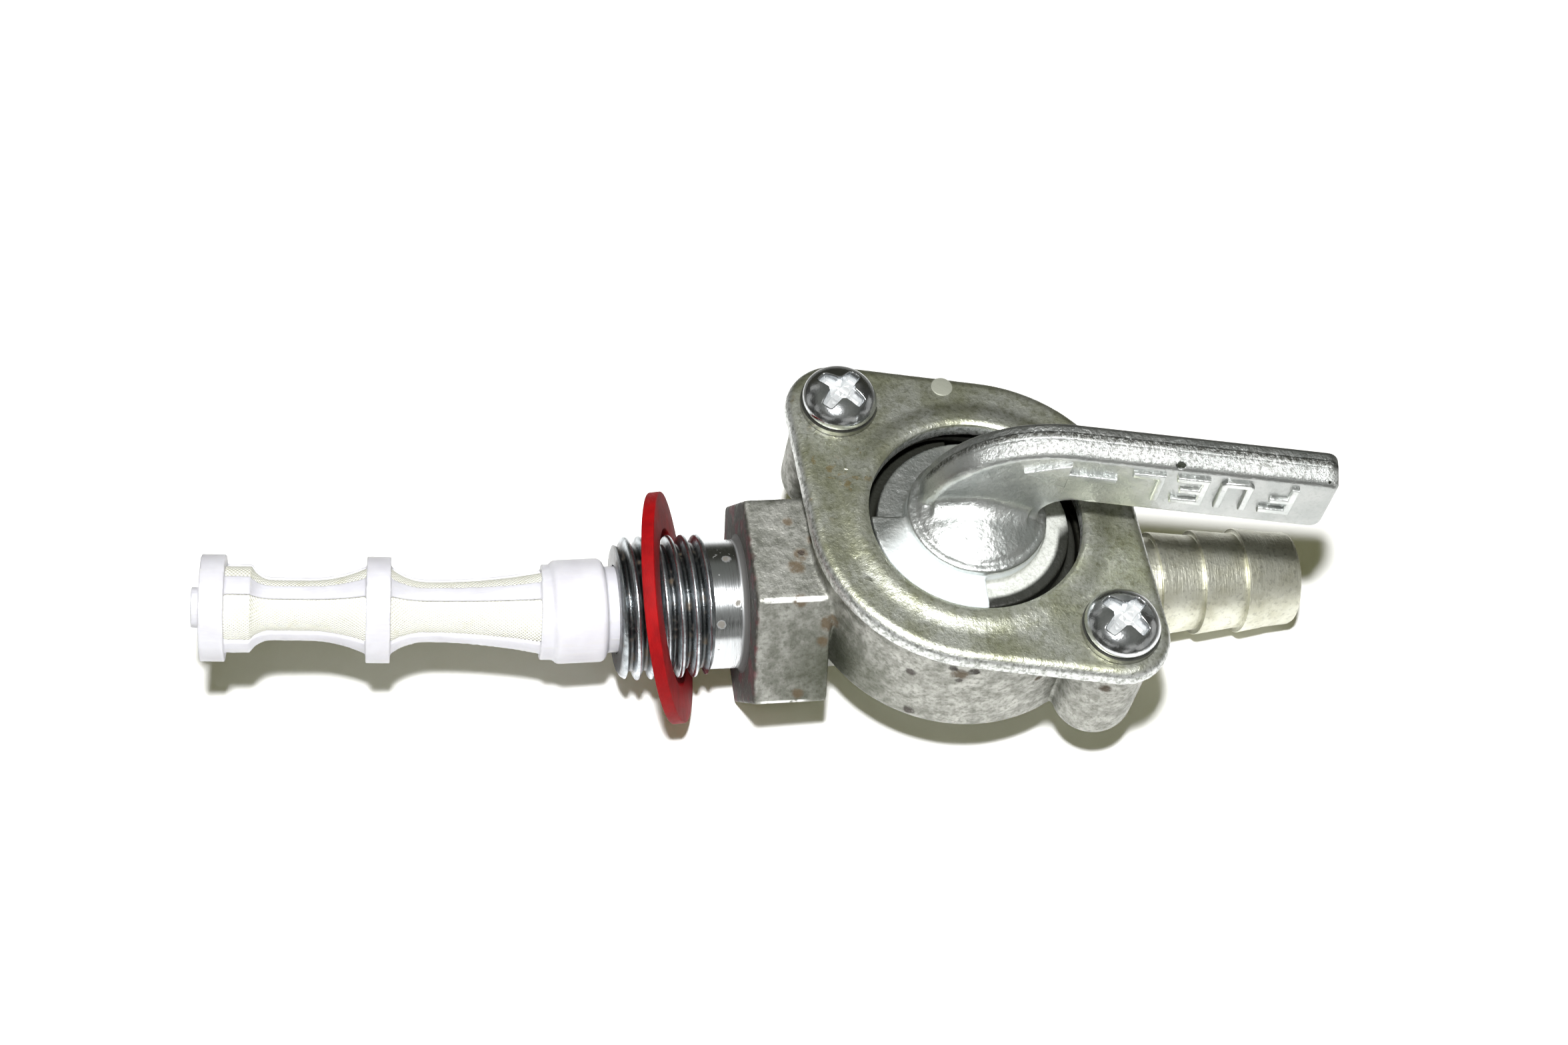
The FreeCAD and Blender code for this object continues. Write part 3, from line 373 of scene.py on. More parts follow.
def plate_finish():
    """Zinc-plated sheet with an olive cast, mottled and slightly stained, with a painted highlight along its
    edge.
    """
    finish = Finish("zinc_plate")
    place = finish.place()
    clouds = finish.grain(place, 3.4, 4, 0.6)
    grain = finish.grain(place, 0.3, 4, 0.7)
    mottle = finish.grain(place, 0.7, 4, 0.7)
    colour = finish.tint(clouds.rise(0.3, 0.7), tone(168, 170, 146), tone(196, 198, 190))
    colour = finish.tint(mottle.rise(0.44, 0.7) * 0.5, colour, tone(126, 128, 98))
    colour = finish.tint(grain.rise(0.45, 0.7) * 0.55, colour, tone(108, 110, 88))
    stain = finish.grain(place, 0.9, 3).rise(0.62, 0.7) * finish.near(place, (4.5, 5.0, 10.3), 3.0, 4.0)
    colour = finish.tint(stain * 0.5, colour, tone(150, 124, 62))
    # Painted highlight: the sheet's rounded edge is painted bright in sparkling flecks.
    rim = 1 - finish.axis(place, "Z").rise(10.02, 10.24)
    painted_edge_highlight = finish.tint(grain.rise(0.4, 0.65), tone(236, 238, 238), tone(150, 153, 150))
    colour = finish.tint(rim * 0.8, colour, painted_edge_highlight)
    finish.set(Base_Color=colour, Metallic=0.9)
    finish.set(Roughness=clouds * 0.1 + 0.3 + grain * 0.1)
    relief = finish.bump(grain, 0.03)
    relief = finish.bump(mottle, 0.04, relief)
    finish.set(Normal=finish.bump(finish.grain(place, 2.0, 2), 0.05, relief))
    return finish.owner


def dot_finish():
    """The round dot pressed up from the plate, a little duller than the sheet."""
    finish = Finish("pressed_dot")
    place = finish.place()
    grain = finish.grain(place, 0.3, 3)
    finish.set(Base_Color=finish.tint(grain, tone(158, 160, 148), tone(142, 144, 132)), Metallic=0.35)
    finish.set(Roughness=grain * 0.2 + 0.4, Normal=finish.bump(grain, 0.02))
    return finish.owner


def bright_finish(name, light, dark, roughness):
    """Bright plated steel with faint clouds and fine scratches, with painted shade in its creases and at its
    foot, and a painted highlight that lightens a cross recess, which is also duller.
    """
    finish = Finish(name)
    place = finish.place()
    flat = finish.place((1, 1, 0))
    height = finish.axis(place, "Z")
    clouds = finish.grain(place, 0.9, 3, 0.6)
    fine = finish.grain(place, 0.15, 3, 0.6)
    # Painted shade: creases and the foot of each head are darkened.
    painted_shade_guide = finish.node("NewGeometry", output="Pointiness").rise(0.42, 0.5)
    foot = 1 - height.rise(10.95, 11.25)
    middles = [finish.near(flat, tuple(spot), 1.5, 0.15) for spot in screw_spots()]
    recess = middles[0].highest(middles[1]) * (1 - height.rise(11.7, 12.1))
    colour = finish.tint(clouds.rise(0.35, 0.7), light, dark)
    colour = finish.tint((1 - painted_shade_guide).highest(foot) * 0.6, colour, tone(60, 62, 60))
    # Painted highlight: the cross recess is painted lighter, as well as made duller.
    colour = finish.tint(recess * 0.6, colour, tone(226, 228, 228))
    finish.set(Base_Color=colour, Metallic=1 - recess * 0.35)
    finish.set(Roughness=clouds * 0.1 + recess * 0.25 + roughness)
    finish.set(Normal=finish.bump(fine, 0.008, finish.bump(clouds, 0.012)))
    return finish.owner


def fibre_finish():
    """Red vulcanised fibre, a little lighter and rougher along its cut edge, with painted shade on its lower
    side by the floor.
    """
    finish = Finish("red_fibre")
    place = finish.place()
    clouds = finish.grain(place, 1.6, 3)
    strands = finish.grain(finish.place((4, 0.7, 0.7)), 0.5, 4, 0.7)
    colour = finish.tint(clouds.rise(0.3, 0.7), tone(154, 7, 12), tone(128, 5, 10))
    colour = finish.tint(strands.rise(0.52, 0.8) * 0.3, colour, tone(172, 26, 26))
    # Painted shade: the ring is darker on its lower side, near the floor.
    colour = finish.tint(finish.near(place, (-3.4, -1.0, -7.5), 2.2, 3.0) * 0.45, colour, tone(92, 6, 10))
    finish.set(Base_Color=colour, Roughness=strands * 0.2 + 0.55, Specular_IOR_Level=0.15)
    finish.set(Normal=finish.bump(strands, 0.05))
    return finish.owner


def nylon_finish():
    """White moulded nylon, slightly cloudy, with faint flow lines."""
    finish = Finish("white_nylon")
    place = finish.place()
    clouds = finish.grain(place, 2.4, 3)
    flow = finish.grain(finish.place((0.25, 2.2, 2.2)), 1.0, 4, 0.65)
    colour = finish.tint(clouds.rise(0.3, 0.7), tone(210, 210, 216), tone(200, 199, 206))
    colour = finish.tint(flow.rise(0.5, 0.8) * 0.3, colour, tone(204, 203, 186))
    finish.set(Base_Color=colour, Roughness=clouds * 0.12 + 0.34)
    finish.set(Subsurface_Weight=0.25, Subsurface_Scale=0.0015, Subsurface_Radius=(1.0, 0.95, 0.85))
    finish.set(Normal=finish.bump(flow, 0.04))
    return finish.owner


def gauze_finish():
    """Fine white woven gauze, with threads along the sleeve and round it."""
    finish = Finish("white_gauze")
    place = finish.place()
    along = finish.axis(place, "X")
    turn = finish.node("Math", {0: finish.axis(place, "Y"), 1: finish.axis(place, "Z")}, operation="ARCTAN2")
    hoops = finish.node("Math", {0: along * 24.0}, operation="SINE")
    strands = finish.node("Math", {0: turn * 60.0}, operation="SINE")
    weave = (hoops * strands * 0.5 + 0.5)
    dirt = finish.grain(place, 0.9, 4, 0.65).rise(0.5, 0.78)
    colour = finish.tint(weave.rise(0.1, 0.9), tone(212, 212, 198), tone(238, 238, 230))
    colour = finish.tint(dirt * 0.5, colour, tone(196, 194, 168))
    finish.set(Base_Color=colour, Roughness=weave * 0.2 + 0.6)
    finish.set(Normal=finish.bump(weave, 0.06))
    return finish.owner


def rubber_finish():
    """Black moulded rubber with a dull skin."""
    finish = Finish("black_rubber")
    place = finish.place()
    clouds = finish.grain(place, 1.5, 3)
    finish.set(Base_Color=finish.tint(clouds, tone(34, 34, 34), tone(54, 53, 51)))
    finish.set(Roughness=clouds * 0.2 + 0.55, Normal=finish.bump(finish.grain(place, 0.2, 3), 0.02))
    return finish.owner


# Mesh helpers

def merged(node):
    """A copy of a CAD node's mesh in millimetres, with its loose triangles joined."""
    mesh = bmesh.new()
    mesh.from_mesh(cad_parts[node].data)
    bmesh.ops.remove_doubles(mesh, verts=mesh.verts, dist=1e-7)
    bmesh.ops.scale(mesh, vec=(1 / MM,) * 3, verts=mesh.verts)
    return mesh


def cut_off(mesh, x, towards):
    """Cuts the mesh square at x, drops what lies on the towards side and gives the cut's edges."""
    parts = mesh.verts[:] + mesh.edges[:] + mesh.faces[:]
    cut = bmesh.ops.bisect_plane(
        mesh, geom=parts, dist=1e-5, plane_co=(x, 0, 0), plane_no=(towards, 0, 0), clear_outer=True)
    return [item for item in cut["geom_cut"] if isinstance(item, bmesh.types.BMEdge)]


def close_cut(mesh, edges, towards):
    bmesh.ops.triangle_fill(mesh, use_beauty=True, edges=edges, normal=(towards, 0, 0))


def join_to(whole, mesh):
    """Moves the faces of one mesh into another."""
    data = bpy.data.meshes.new("joined")
    mesh.to_mesh(data)
    mesh.free()
    whole.from_mesh(data)
    bpy.data.meshes.remove(data)


def set_down(name, mesh):
    """An object in the scene that holds a mesh, which is in metres by now."""
    data = bpy.data.meshes.new(name)
    mesh.to_mesh(data)
    mesh.free()
    made = bpy.data.objects.new(name, data)
    bpy.context.scene.collection.objects.link(made)
    return made


def melted(mesh, grid, passes, keep):
    """The same shape as one skin whose edges and corners are softly rounded, as cast metal has them."""
    bmesh.ops.recalc_face_normals(mesh, faces=mesh.faces)
    bmesh.ops.scale(mesh, vec=(MM,) * 3, verts=mesh.verts)
    carrier = set_down("melt", mesh)
    data = carrier.data
    skin = carrier.modifiers.new("skin", "REMESH")
    skin.mode = "VOXEL"
    skin.voxel_size = grid * MM
    soft = carrier.modifiers.new("soft", "SMOOTH")
    soft.factor = 0.5
    soft.iterations = passes
    light = carrier.modifiers.new("light", "DECIMATE")
    light.ratio = keep
    depsgraph = bpy.context.evaluated_depsgraph_get()
    result = bpy.data.meshes.new_from_object(carrier.evaluated_get(depsgraph))
    melt = bmesh.new()
    melt.from_mesh(result)
    bmesh.ops.scale(melt, vec=(1 / MM,) * 3, verts=melt.verts)
    bpy.data.objects.remove(carrier)
    bpy.data.meshes.remove(data)
    bpy.data.meshes.remove(result)
    return melt


def lathe(corners, steps=144):
    """A solid spun about the flow axis from a closed outline of (x, radius) corners."""
    mesh = bmesh.new()
    points = [mesh.verts.new((x, 0, radius)) for x, radius in corners]
    edges = [mesh.edges.new(pair) for pair in zip(points, points[1:] + points[:1])]
    bmesh.ops.spin(
        mesh, geom=points + edges, cent=(0, 0, 0), axis=(1, 0, 0),
        angle=math.tau, steps=steps, use_merge=True)
    bmesh.ops.remove_doubles(mesh, verts=mesh.verts, dist=1e-5)
    bmesh.ops.recalc_face_normals(mesh, faces=mesh.faces)
    return mesh


def ring_edges(mesh, x, radius, slack=0.02):
    """The edges of a lathe's mesh that run round it at one place and radius."""
    def fits(vert):
        return abs(vert.co.x - x) < slack and abs(math.hypot(vert.co.y, vert.co.z) - radius) < slack
    return [edge for edge in mesh.edges if all(fits(vert) for vert in edge.verts)]


def round_over(mesh, edges, width, segments=3):
    bmesh.ops.bevel(
        mesh, geom=edges, offset=width, offset_type="OFFSET", segments=segments, profile=0.5,
        affect="EDGES", material=-1, clamp_overlap=True)


def add_piece(name, mesh, finish, slot, body, *nodes, crease=40):
    """Turns a mesh in millimetres into a piece that rides on a body and stands for the nodes."""
    bmesh.ops.scale(mesh, vec=(MM,) * 3, verts=mesh.verts)
    for face in mesh.faces:
        face.smooth = True
    limit = math.radians(crease)
    for edge in mesh.edges:
        edge.smooth = len(edge.link_faces) == 2 and edge.calc_face_angle(0.0) < limit
    piece = set_down(name, mesh)
    piece.data.materials.append(finish)
    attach(piece, body)
    if nodes:
        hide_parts(*nodes)


# Pieces of the tap

def make_casting(finish):
    """Hexagon, pot, lugs and tube as one softly rounded casting."""
    mesh = merged("valve_body")
    for x, towards in ((0.02, -1), (26.2, 1)):
        close_cut(mesh, cut_off(mesh, x, towards), towards)
    mesh = melted(mesh, 0.15, 3, 0.55)
    add_piece("tap_casting", mesh, finish, "casting", "tap_body", "valve_body", crease=80)


def make_neck(finish):
    """Bright turned relief between the thread and the hexagon, with a hollow round at its root."""
    waist, hollow = 4.5, 0.38
    corners = [(-2.5, 3.1), (-2.5, waist - 0.05), (-2.3, waist)]
    for step in range(9):
        angle = math.pi / 2 * step / 8
        corners.append((-hollow + hollow * math.sin(angle), waist + hollow - hollow * math.cos(angle)))
    mesh = lathe([*corners, (0.12, waist + hollow), (0.12, 3.1)])
    add_piece("relief_neck", mesh, finish, "casting", "tap_body", "valve_body")


def make_thread(finish):
    """Metric thread of one millimetre pitch, with a chamfered start and a run-out."""
    pitch, turns, steps = 1.0, 9, 72
    start, mouth, end = -10.2, -8.7, -2.3
    crest, root, bore = 5.0, 4.36, 3.1
    nose, chamfer, neck, runout = 4.32, 0.9, 4.5, 1.6
    mesh = bmesh.new()
    half = [(0.0, root), (0.08, root + 0.01), (0.14, root + 0.06)]
    half += [(0.31, crest - 0.16), (0.36, crest - 0.07), (0.42, crest - 0.02), (0.5, crest)]
    ridge = half + [(1 - x, radius) for x, radius in reversed(half[:-1])]
    points = [mesh.verts.new((start + x, 0, radius)) for x, radius in ridge]
    edges = [mesh.edges.new(pair) for pair in zip(points, points[1:])]
    bmesh.ops.spin(
        mesh, geom=points + edges, cent=(0, 0, 0), axis=(1, 0, 0), dvec=(pitch / steps, 0, 0),
        angle=math.tau * turns, steps=steps * turns, use_merge=False)
    bmesh.ops.remove_doubles(mesh, verts=mesh.verts, dist=1e-4)
    for x, towards in ((mouth, -1), (end, 1)):
        edges = cut_off(mesh, x, towards)
        rim = bmesh.ops.create_circle(
            mesh, segments=96, radius=bore,
            matrix=Matrix.Translation((x, 0, 0)) @ Matrix.Rotation(math.pi / 2, 4, "Y"))
        edges += list({edge for vert in rim["verts"] for edge in vert.link_edges})
        close_cut(mesh, edges, towards)
    open_edges = [edge for edge in mesh.edges if len(edge.link_faces) == 1]
    bmesh.ops.bridge_loops(mesh, edges=open_edges)
    for vert in mesh.verts:
        x = vert.co.x
        radius = math.hypot(vert.co.y, vert.co.z)
        if radius > bore + 0.5:
            limit = min(nose + chamfer * math.sqrt(max(x - mouth, 0.0) * 0.8), neck + (end - x) * runout)
            if radius > limit:
                factor = limit / radius
                vert.co.y *= factor
                vert.co.z *= factor
    bmesh.ops.recalc_face_normals(mesh, faces=mesh.faces)
    add_piece("tank_thread", mesh, finish, "casting", "tap_body", "valve_body", crease=62)


def make_barb(finish):
    """Machined hose barb with three cones, each with a blunt crest."""
    root, crest, bore = 3.4, 3.76, 2.0
    corners = [(25.9, bore), (25.9, 4.55), (26.06, 4.66), (27.35, root + 0.03), (27.45, root)]
    for edge in (29.9, 33.1, 36.3):
        corners += [(edge - 0.03, root), (edge, root + 0.04), (edge, crest - 0.03), (edge + 0.03, crest)]
        corners += [(edge + 0.13, crest), (edge + 0.18, crest - 0.01)]
    corners += [(38.0, root + 0.14), (38.1, root + 0.09), (40.1, root - 0.06), (40.3, root - 0.16)]
    corners += [(40.38, root - 0.35), (40.38, bore)]
    mesh = lathe(corners)
    add_piece("hose_barb", mesh, finish, "casting", "tap_body", "valve_body")


def make_lever(finish):
    """Blade, boss, hub and disc with soft edges, and the raised arrow and word."""
    mesh = melted(merged("lever"), 0.11, 3, 0.6)
    bmesh.ops.transform(mesh, matrix=lever_place().inverted(), verts=mesh.verts)
    crown_blade(mesh)
    raise_boss(mesh)
    bmesh.ops.transform(mesh, matrix=lever_place(), verts=mesh.verts)
    add_piece("lever_casting", mesh, finish, "lever_casting", "lever", "lever", crease=80)
    make_legend(finish)


def lever_place():
    return Matrix.Translation(ROTOR) @ Matrix.Rotation(math.radians(LEVER_TURN), 4, "Z")


def ease(value):
    """0 below 0, 1 above 1, and a soft rise between them."""
    value = min(max(value, 0.0), 1.0)
    return value * value * (3 - 2 * value)


def crown_blade(mesh):
    """Slopes the blade's top down towards its front edge, along the sweep too."""
    centre, sweep, top = Vector((5.1, 0, 9.85)), 9.2, 19.05
    foot, start, heel = 10.4, 10.6, -4.6
    slope, back, wide, soft = 0.5, 1.55, 1.75, 1.6
    for vert in mesh.verts:
        x, y, z = vert.co
        if z < foot or x < heel:
            continue
        drop = slope * ((back - min(y, back)) / wide) ** 1.5
        if x > centre.x:
            vert.co.z -= drop * ease(1 - (top - z) / soft)
            continue
        spoke = Vector((x - centre.x, 0, z - centre.z))
        reach = max(spoke.length, 0.01)
        drop *= ease(1 - (sweep - reach) / soft) * ease((z - start) / 2.0)
        vert.co -= spoke / reach * drop


def raise_boss(mesh):
    """Gives the boss a blunt cone with a shallow groove inside its rim."""
    foot, rim, peak = 10.2, 4.9, 0.75
    groove, depth, wide = 4.25, 0.1, 0.22
    for vert in mesh.verts:
        radius = math.hypot(vert.co.x, vert.co.y)
        if vert.co.z < foot or radius > rim:
            continue
        fade = ease((14.0 - vert.co.z) / 3.0)
        vert.co.z += peak * (1 - radius / rim) * fade
        vert.co.z -= depth * math.exp(-((radius - groove) / wide) ** 2) * fade


def letter(corners, origin):
    """One raised letter from its outline, turned to stand on the blade's front face."""
    mesh = bmesh.new()
    face = mesh.faces.new([mesh.verts.new((origin[0] - u, 0, origin[1] - v)) for u, v in corners])
    raised = bmesh.ops.extrude_face_region(mesh, geom=[face])
    top = [item for item in raised["geom"] if isinstance(item, bmesh.types.BMVert)]
    bmesh.ops.translate(mesh, vec=(0, -0.42, 0), verts=top)
    bmesh.ops.recalc_face_normals(mesh, faces=mesh.faces)
    rim = [edge for edge in mesh.edges if all(vert.co.y < -0.2 for vert in edge.verts)]
    round_over(mesh, rim, 0.12)
    return mesh


def make_legend(finish):
    """The word FUEL and its arrow, raised on the blade's front face, upside down to the viewer."""
    stroke, wide, tall = 0.5, 2.2, 2.9
    low, high, roof = tall / 2 - 0.2, tall / 2 + 0.25, tall - stroke
    outlines = {
        "F": [(0, 0), (stroke, 0), (stroke, low), (wide - 0.5, low), (wide - 0.5, high),
              (stroke, high), (stroke, roof), (wide, roof), (wide, tall), (0, tall)],
        "U": [(0, 0.3), (0.3, 0), (wide - 0.3, 0), (wide, 0.3), (wide, tall), (wide - stroke, tall),
              (wide - stroke, stroke), (stroke, stroke), (stroke, tall), (0, tall)],
        "E": [(0, 0), (wide, 0), (wide, stroke), (stroke, stroke), (stroke, low), (wide - 0.4, low),
              (wide - 0.4, high), (stroke, high), (stroke, roof), (wide, roof), (wide, tall), (0, tall)],
        "L": [(0, 0), (wide, 0), (wide, stroke), (stroke, stroke), (stroke, tall), (0, tall)],
    }
    word = [("F", 20.3), ("U", 17.3), ("E", 14.3), ("L", 11.3)]
    meshes = [letter(outlines[name], (place, 17.9)) for name, place in word]
    arrow = [(0, 0.55), (0, 0.0), (3.2, 0.0), (3.2, -1.0), (6.2, 0.35), (3.2, 1.55), (3.2, 0.55)]
    meshes.append(letter(arrow, (8.2, 16.9)))
    legend = bmesh.new()
    for mesh in meshes:
        join_to(legend, mesh)
    bmesh.ops.translate(legend, vec=(0, -0.1, 0), verts=legend.verts)
    bmesh.ops.transform(legend, matrix=lever_place(), verts=legend.verts)
    add_piece("lever_legend", legend, finish, "lever_casting", "lever")


def make_plate(finish):
    """Pressed cover plate with soft edges, and a low collar round its window that curls over."""
    collar, height, rise = 9.5, 0.25, 1.4
    lip, curl, fall = 7.85, 0.45, 0.16
    mesh = melted(merged("cover_plate"), 0.1, 14, 0.7)
    for vert in mesh.verts:
        radius = math.hypot(vert.co.x - ROTOR.x, vert.co.y)
        if vert.co.z > PLATE_TOP - 0.15 and radius < collar + 0.1:
            edge = fall * max(0.0, (lip - radius) / curl) ** 2
            vert.co.z = PLATE_TOP + height * ease((collar - radius) / rise) - edge
    add_piece("plate_sheet", mesh, finish, "plate", "tap_body", "cover_plate", crease=80)


def make_dot(finish):
    """The round dot pressed up from the plate."""
    mesh = bmesh.new()
    centre = Matrix.Translation((14.55, 10.7, PLATE_TOP - 0.02))
    bmesh.ops.create_cone(
        mesh, cap_ends=True, segments=48, radius1=0.82, radius2=0.74, depth=0.12, matrix=centre)
    rim = [edge for edge in mesh.edges if all(vert.co.z > PLATE_TOP for vert in edge.verts)]
    round_over(mesh, rim, 0.04)
    add_piece("plate_dot", mesh, finish, "plate", "tap_body")


def screw_spots():
    """The middles of the two screws, seen from above."""
    spots = []
    for angle in SCREW_ANGLES:
        turn = math.radians(angle)
        spots.append(ROTOR + Vector((SCREW_REACH * math.cos(turn), SCREW_REACH * math.sin(turn), 0)))
    return spots


def make_screws(finish):
    """Domed pan heads with a tapered cross recess, and their shanks."""
    wide, skirt, dome, rings = 2.6, 0.3, 1.4, 60
    whole = bmesh.new()
    for spot, cross in zip(screw_spots(), CROSS_TURNS):
        head = bmesh.new()
        corners = [(0, -6.6), (1.1, -6.6), (1.25, -6.4), (1.25, 0), (2.45, 0), (2.58, 0.12), (wide, skirt)]
        for step in range(1, rings + 1):
            radius = wide * (1 - step / rings)
            corners.append((radius, skirt + dome * (1 - (radius / wide) ** 2.2) ** 0.55))
        points = [head.verts.new((radius, 0, height)) for radius, height in corners]
        edges = [head.edges.new(pair) for pair in zip(points, points[1:])]
        bmesh.ops.spin(
            head, geom=points + edges, cent=(0, 0, 0), axis=(0, 0, 1),
            angle=math.tau, steps=220, use_merge=True)
        bmesh.ops.remove_doubles(head, verts=head.verts, dist=1e-4)
        carve_cross(head, math.radians(cross))
        bmesh.ops.recalc_face_normals(head, faces=head.faces)
        bmesh.ops.translate(head, vec=spot + Vector((0, 0, PLATE_TOP + LOCK_WASHER)), verts=head.verts)
        join_to(whole, head)
    add_piece("pan_screws", whole, finish, "screw_steel", "tap_body", "cover_screws", crease=60)


def carve_cross(head, turn):
    """Presses a cross recess with sloping walls into the crown of a head."""
    depth, half_width, reach = 1.2, 0.62, 1.85

    def arm(along, across):
        walls = ease((half_width - 0.1 * along - across) / 0.2)
        return walls * ease((reach - along) / 0.5) * (1 - 0.22 * along)

    for vert in head.verts:
        if vert.co.z > 0.8:
            x = abs(vert.co.x * math.cos(turn) + vert.co.y * math.sin(turn))
            y = abs(vert.co.y * math.cos(turn) - vert.co.x * math.sin(turn))
            middle = 0.85 * ease((1.3 - x - y) / 0.35)
            vert.co.z -= depth * max(arm(x, y), arm(y, x), middle)


def make_lock_washers(finish):
    """Split spring washers under the two heads."""
    inner, outer, foot, top = 1.66, 2.68, 0.02, 0.42
    steps, climb = 64, 0.07
    whole = bmesh.new()
    for spot in screw_spots():
        section = [(inner, foot), (outer, foot), (outer, top), (inner, top)]
        places = [(spot.x + radius, spot.y, PLATE_TOP + height) for radius, height in section]
        points = [whole.verts.new(place) for place in places]
        edges = [whole.edges.new(pair) for pair in zip(points, points[1:] + points[:1])]
        start = whole.faces.new(points)
        bmesh.ops.spin(
            whole, geom=points + edges + [start], cent=(spot.x, spot.y, 0), axis=(0, 0, 1),
            dvec=(0, 0, climb / steps), angle=math.radians(346), steps=steps, use_merge=False)
    bmesh.ops.recalc_face_normals(whole, faces=whole.faces)
    add_piece("split_washers", whole, finish, "washer_steel", "tap_body", "lock_washers")


def make_sealing_washer(finish):
    """Fibre ring with worn edges, slightly warped."""
    inner, outer, half = 5.5, 8.12, 0.44
    mesh = lathe([(-half, inner), (-half, outer), (half, outer), (half, inner)], 128)
    rims = [(x, radius) for x in (-half, half) for radius in (inner, outer)]
    edges = [edge for x, radius in rims for edge in ring_edges(mesh, x, radius)]
    round_over(mesh, edges, 0.1)
    for vert in mesh.verts:
        angle = math.atan2(vert.co.y, vert.co.z)
        radius = math.hypot(vert.co.y, vert.co.z)
        vert.co.x += 0.06 * math.sin(2 * angle + 0.6) * (radius - inner) / (outer - inner)
    turn = Matrix.Translation((-5.0, 0, -0.13))
    turn = turn @ Matrix.Rotation(math.radians(-4.8), 4, "Z") @ Matrix.Rotation(math.radians(-15), 4, "Y")
    bmesh.ops.transform(mesh, matrix=turn, verts=mesh.verts)
    add_piece("fibre_ring", mesh, finish, "fibre", "tap_body", "sealing_washer")


def make_strainer(nylon, gauze):
    """Moulded cage with soft edges, and the gauze sleeve inside it."""
    mesh = melted(merged("strainer_frame"), 0.09, 3, 0.6)
    add_piece("strainer_cage", mesh, nylon, "nylon", "tap_body", "strainer_frame", crease=80)
    mesh = merged("strainer_gauze")
    add_piece("strainer_sleeve", mesh, gauze, "gauze", "tap_body", "strainer_gauze", crease=30)


def dress_hidden_nodes(rubber, spring):
    for node, finish in (("port_seal", rubber), ("wave_spring", spring)):
        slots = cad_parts[node].data.materials
        slots.clear()
        slots.append(finish)


# Room, lamp and camera

def make_floor():
    """Matt white floor that keeps the tap's shadow, and is dark further out to all but the camera.

    The tap lies on its washer and its last barb.
    """
    reach, drop, tilt = 1500, 7.78, math.radians(6.23)
    mesh = bmesh.new()
    bmesh.ops.create_grid(mesh, x_segments=1, y_segments=1, size=reach * MM)
    lie = Matrix.Translation((0, 0, -drop * MM)) @ Matrix.Rotation(-tilt, 4, "Y")
    bmesh.ops.transform(mesh, matrix=lie, verts=mesh.verts)
    floor = set_down("floor", mesh)
    finish = Finish("white_floor")
    place = finish.place()
    faint = finish.grain(place, 40.0, 2)
    paper = finish.tint(faint, (0.96, 0.96, 0.96), (0.98, 0.98, 0.98))
    beyond = 1 - finish.near(place, (2, -35, -8), 58, 30)
    finish.set(Base_Color=finish.tint(beyond, paper, (0.2, 0.2, 0.19)), Roughness=0.95)
    finish.set(Specular_IOR_Level=0.0)
    seen = finish.node("LightPath", output="Is Camera Ray")
    glow = finish.tint(beyond, (0.055, 0.055, 0.02), (1.0, 1.0, 1.0))
    finish.set(Emission_Color=finish.tint(seen, (0.0, 0.0, 0.0), glow), Emission_Strength=1.0)
    floor.data.materials.append(finish.owner)


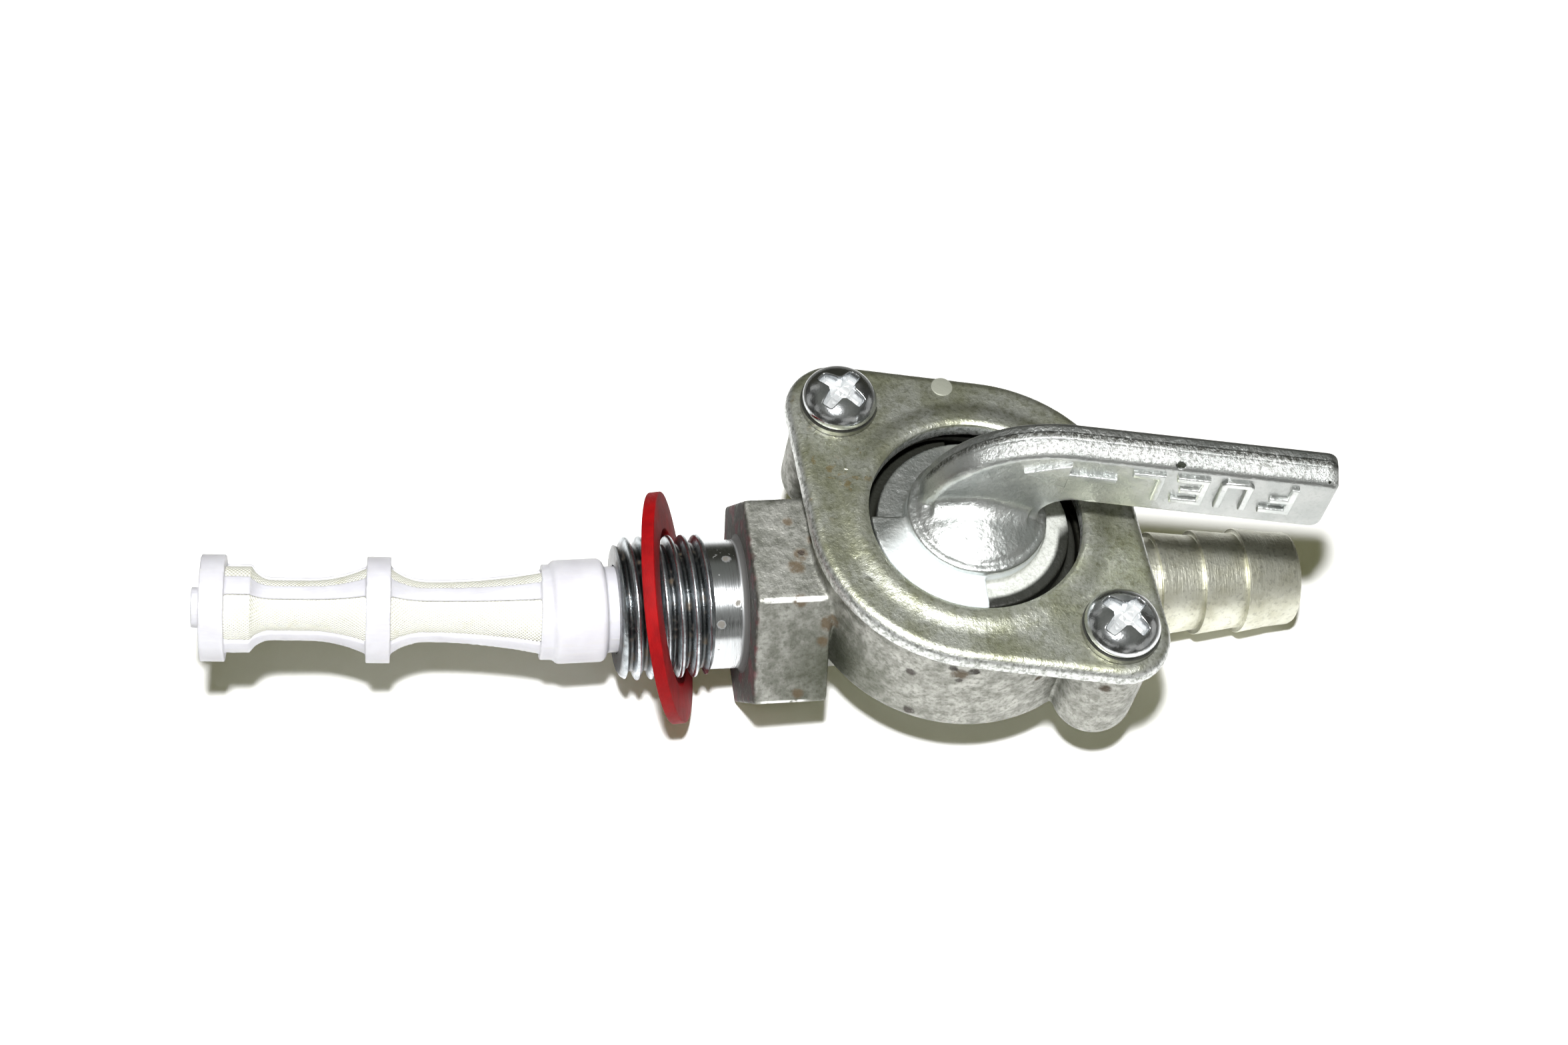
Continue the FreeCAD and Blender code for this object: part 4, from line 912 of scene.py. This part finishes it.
def make_world():
    """A dim room, darkest behind the tap and dull overhead, with a weak even fill for dull surfaces."""
    world = bpy.data.worlds.new("white_room")
    room = Finish("white_room", world)
    bpy.context.scene.world = world
    direction = room.node("TexCoord", output="Generated")
    height = room.axis(direction, "Z")
    patches = room.grain(direction, 0.55, 1).rise(0.46, 0.6)
    walls = room.tint(patches, (0.06, 0.06, 0.055), (0.45, 0.45, 0.43))
    back = room.along(direction, (0.17, 0.98, 0)).rise(0.55, 0.8)
    walls = room.tint(back, walls, (0.045, 0.045, 0.035))
    room_shade = room.tint(height.rise(0.5, 0.75), walls, (0.16, 0.165, 0.15))
    camera = room.node("LightPath", output="Is Camera Ray")
    glossy = room.node("LightPath", output="Is Glossy Ray")
    through = room.node("LightPath", output="Is Transmission Ray")
    colour = room.tint(glossy.highest(through), (0.075, 0.075, 0.05), room_shade)
    colour = room.tint(camera, colour, (1.0, 1.0, 1.0))
    room.join(room.tree.nodes["Background"].inputs["Color"], colour)


def add_lamp(name, place, size, power):
    """A soft square lamp that faces the pot."""
    light = bpy.data.lights.new(name, "AREA")
    light.size = size * MM
    light.energy = power
    lamp = bpy.data.objects.new(name, light)
    lamp.location = Vector(place) * MM
    aim = Vector((8, 0, 2)) * MM - lamp.location
    lamp.rotation_euler = aim.to_track_quat("-Z", "Y").to_euler()
    bpy.context.scene.collection.objects.link(lamp)


def aim_camera():
    """The camera as the photo was taken: close, from the front left and high up, a little rolled."""
    yaw, pitch, roll = (math.radians(angle) for angle in (18.847, 56.377, 13.486))
    forward = Vector((math.sin(yaw) * math.cos(pitch), math.cos(yaw) * math.cos(pitch), -math.sin(pitch)))
    level = forward.cross(Vector((0, 0, 1))).normalized()
    upright = level.cross(forward)
    right = level * math.cos(roll) + upright * math.sin(roll)
    up = upright * math.cos(roll) - level * math.sin(roll)
    data = bpy.data.cameras.new("camera")
    data.lens = 62.755
    data.sensor_width = 36.0
    data.sensor_fit = "HORIZONTAL"
    data.clip_start = 0.005
    camera = bpy.data.objects.new("camera", data)
    place = Matrix.Translation(Vector((-30.837, -95.939, 162.829)) * MM)
    camera.matrix_world = place @ Matrix((right, up, -forward)).transposed().to_4x4()
    bpy.context.scene.collection.objects.link(camera)
    bpy.context.scene.camera = camera


def main():
    bpy.context.scene.view_settings.view_transform = "Standard"
    aim_camera()
    make_world()
    add_lamp("key_lamp", (-36, -68, 219), 16, 0.92)
    make_floor()
    make_casting(casting_finish())
    make_neck(turned_finish())
    make_thread(thread_finish())
    make_barb(barb_finish())
    make_lever(lever_finish())
    make_plate(plate_finish())
    make_dot(dot_finish())
    make_screws(bright_finish("bright_screw", tone(222, 224, 226), tone(196, 199, 202), 0.1))
    steel = bright_finish("plated_steel", tone(206, 206, 198), tone(178, 178, 168), 0.28)
    make_lock_washers(steel)
    make_sealing_washer(fibre_finish())
    make_strainer(nylon_finish(), gauze_finish())
    dress_hidden_nodes(rubber_finish(), steel)


main()
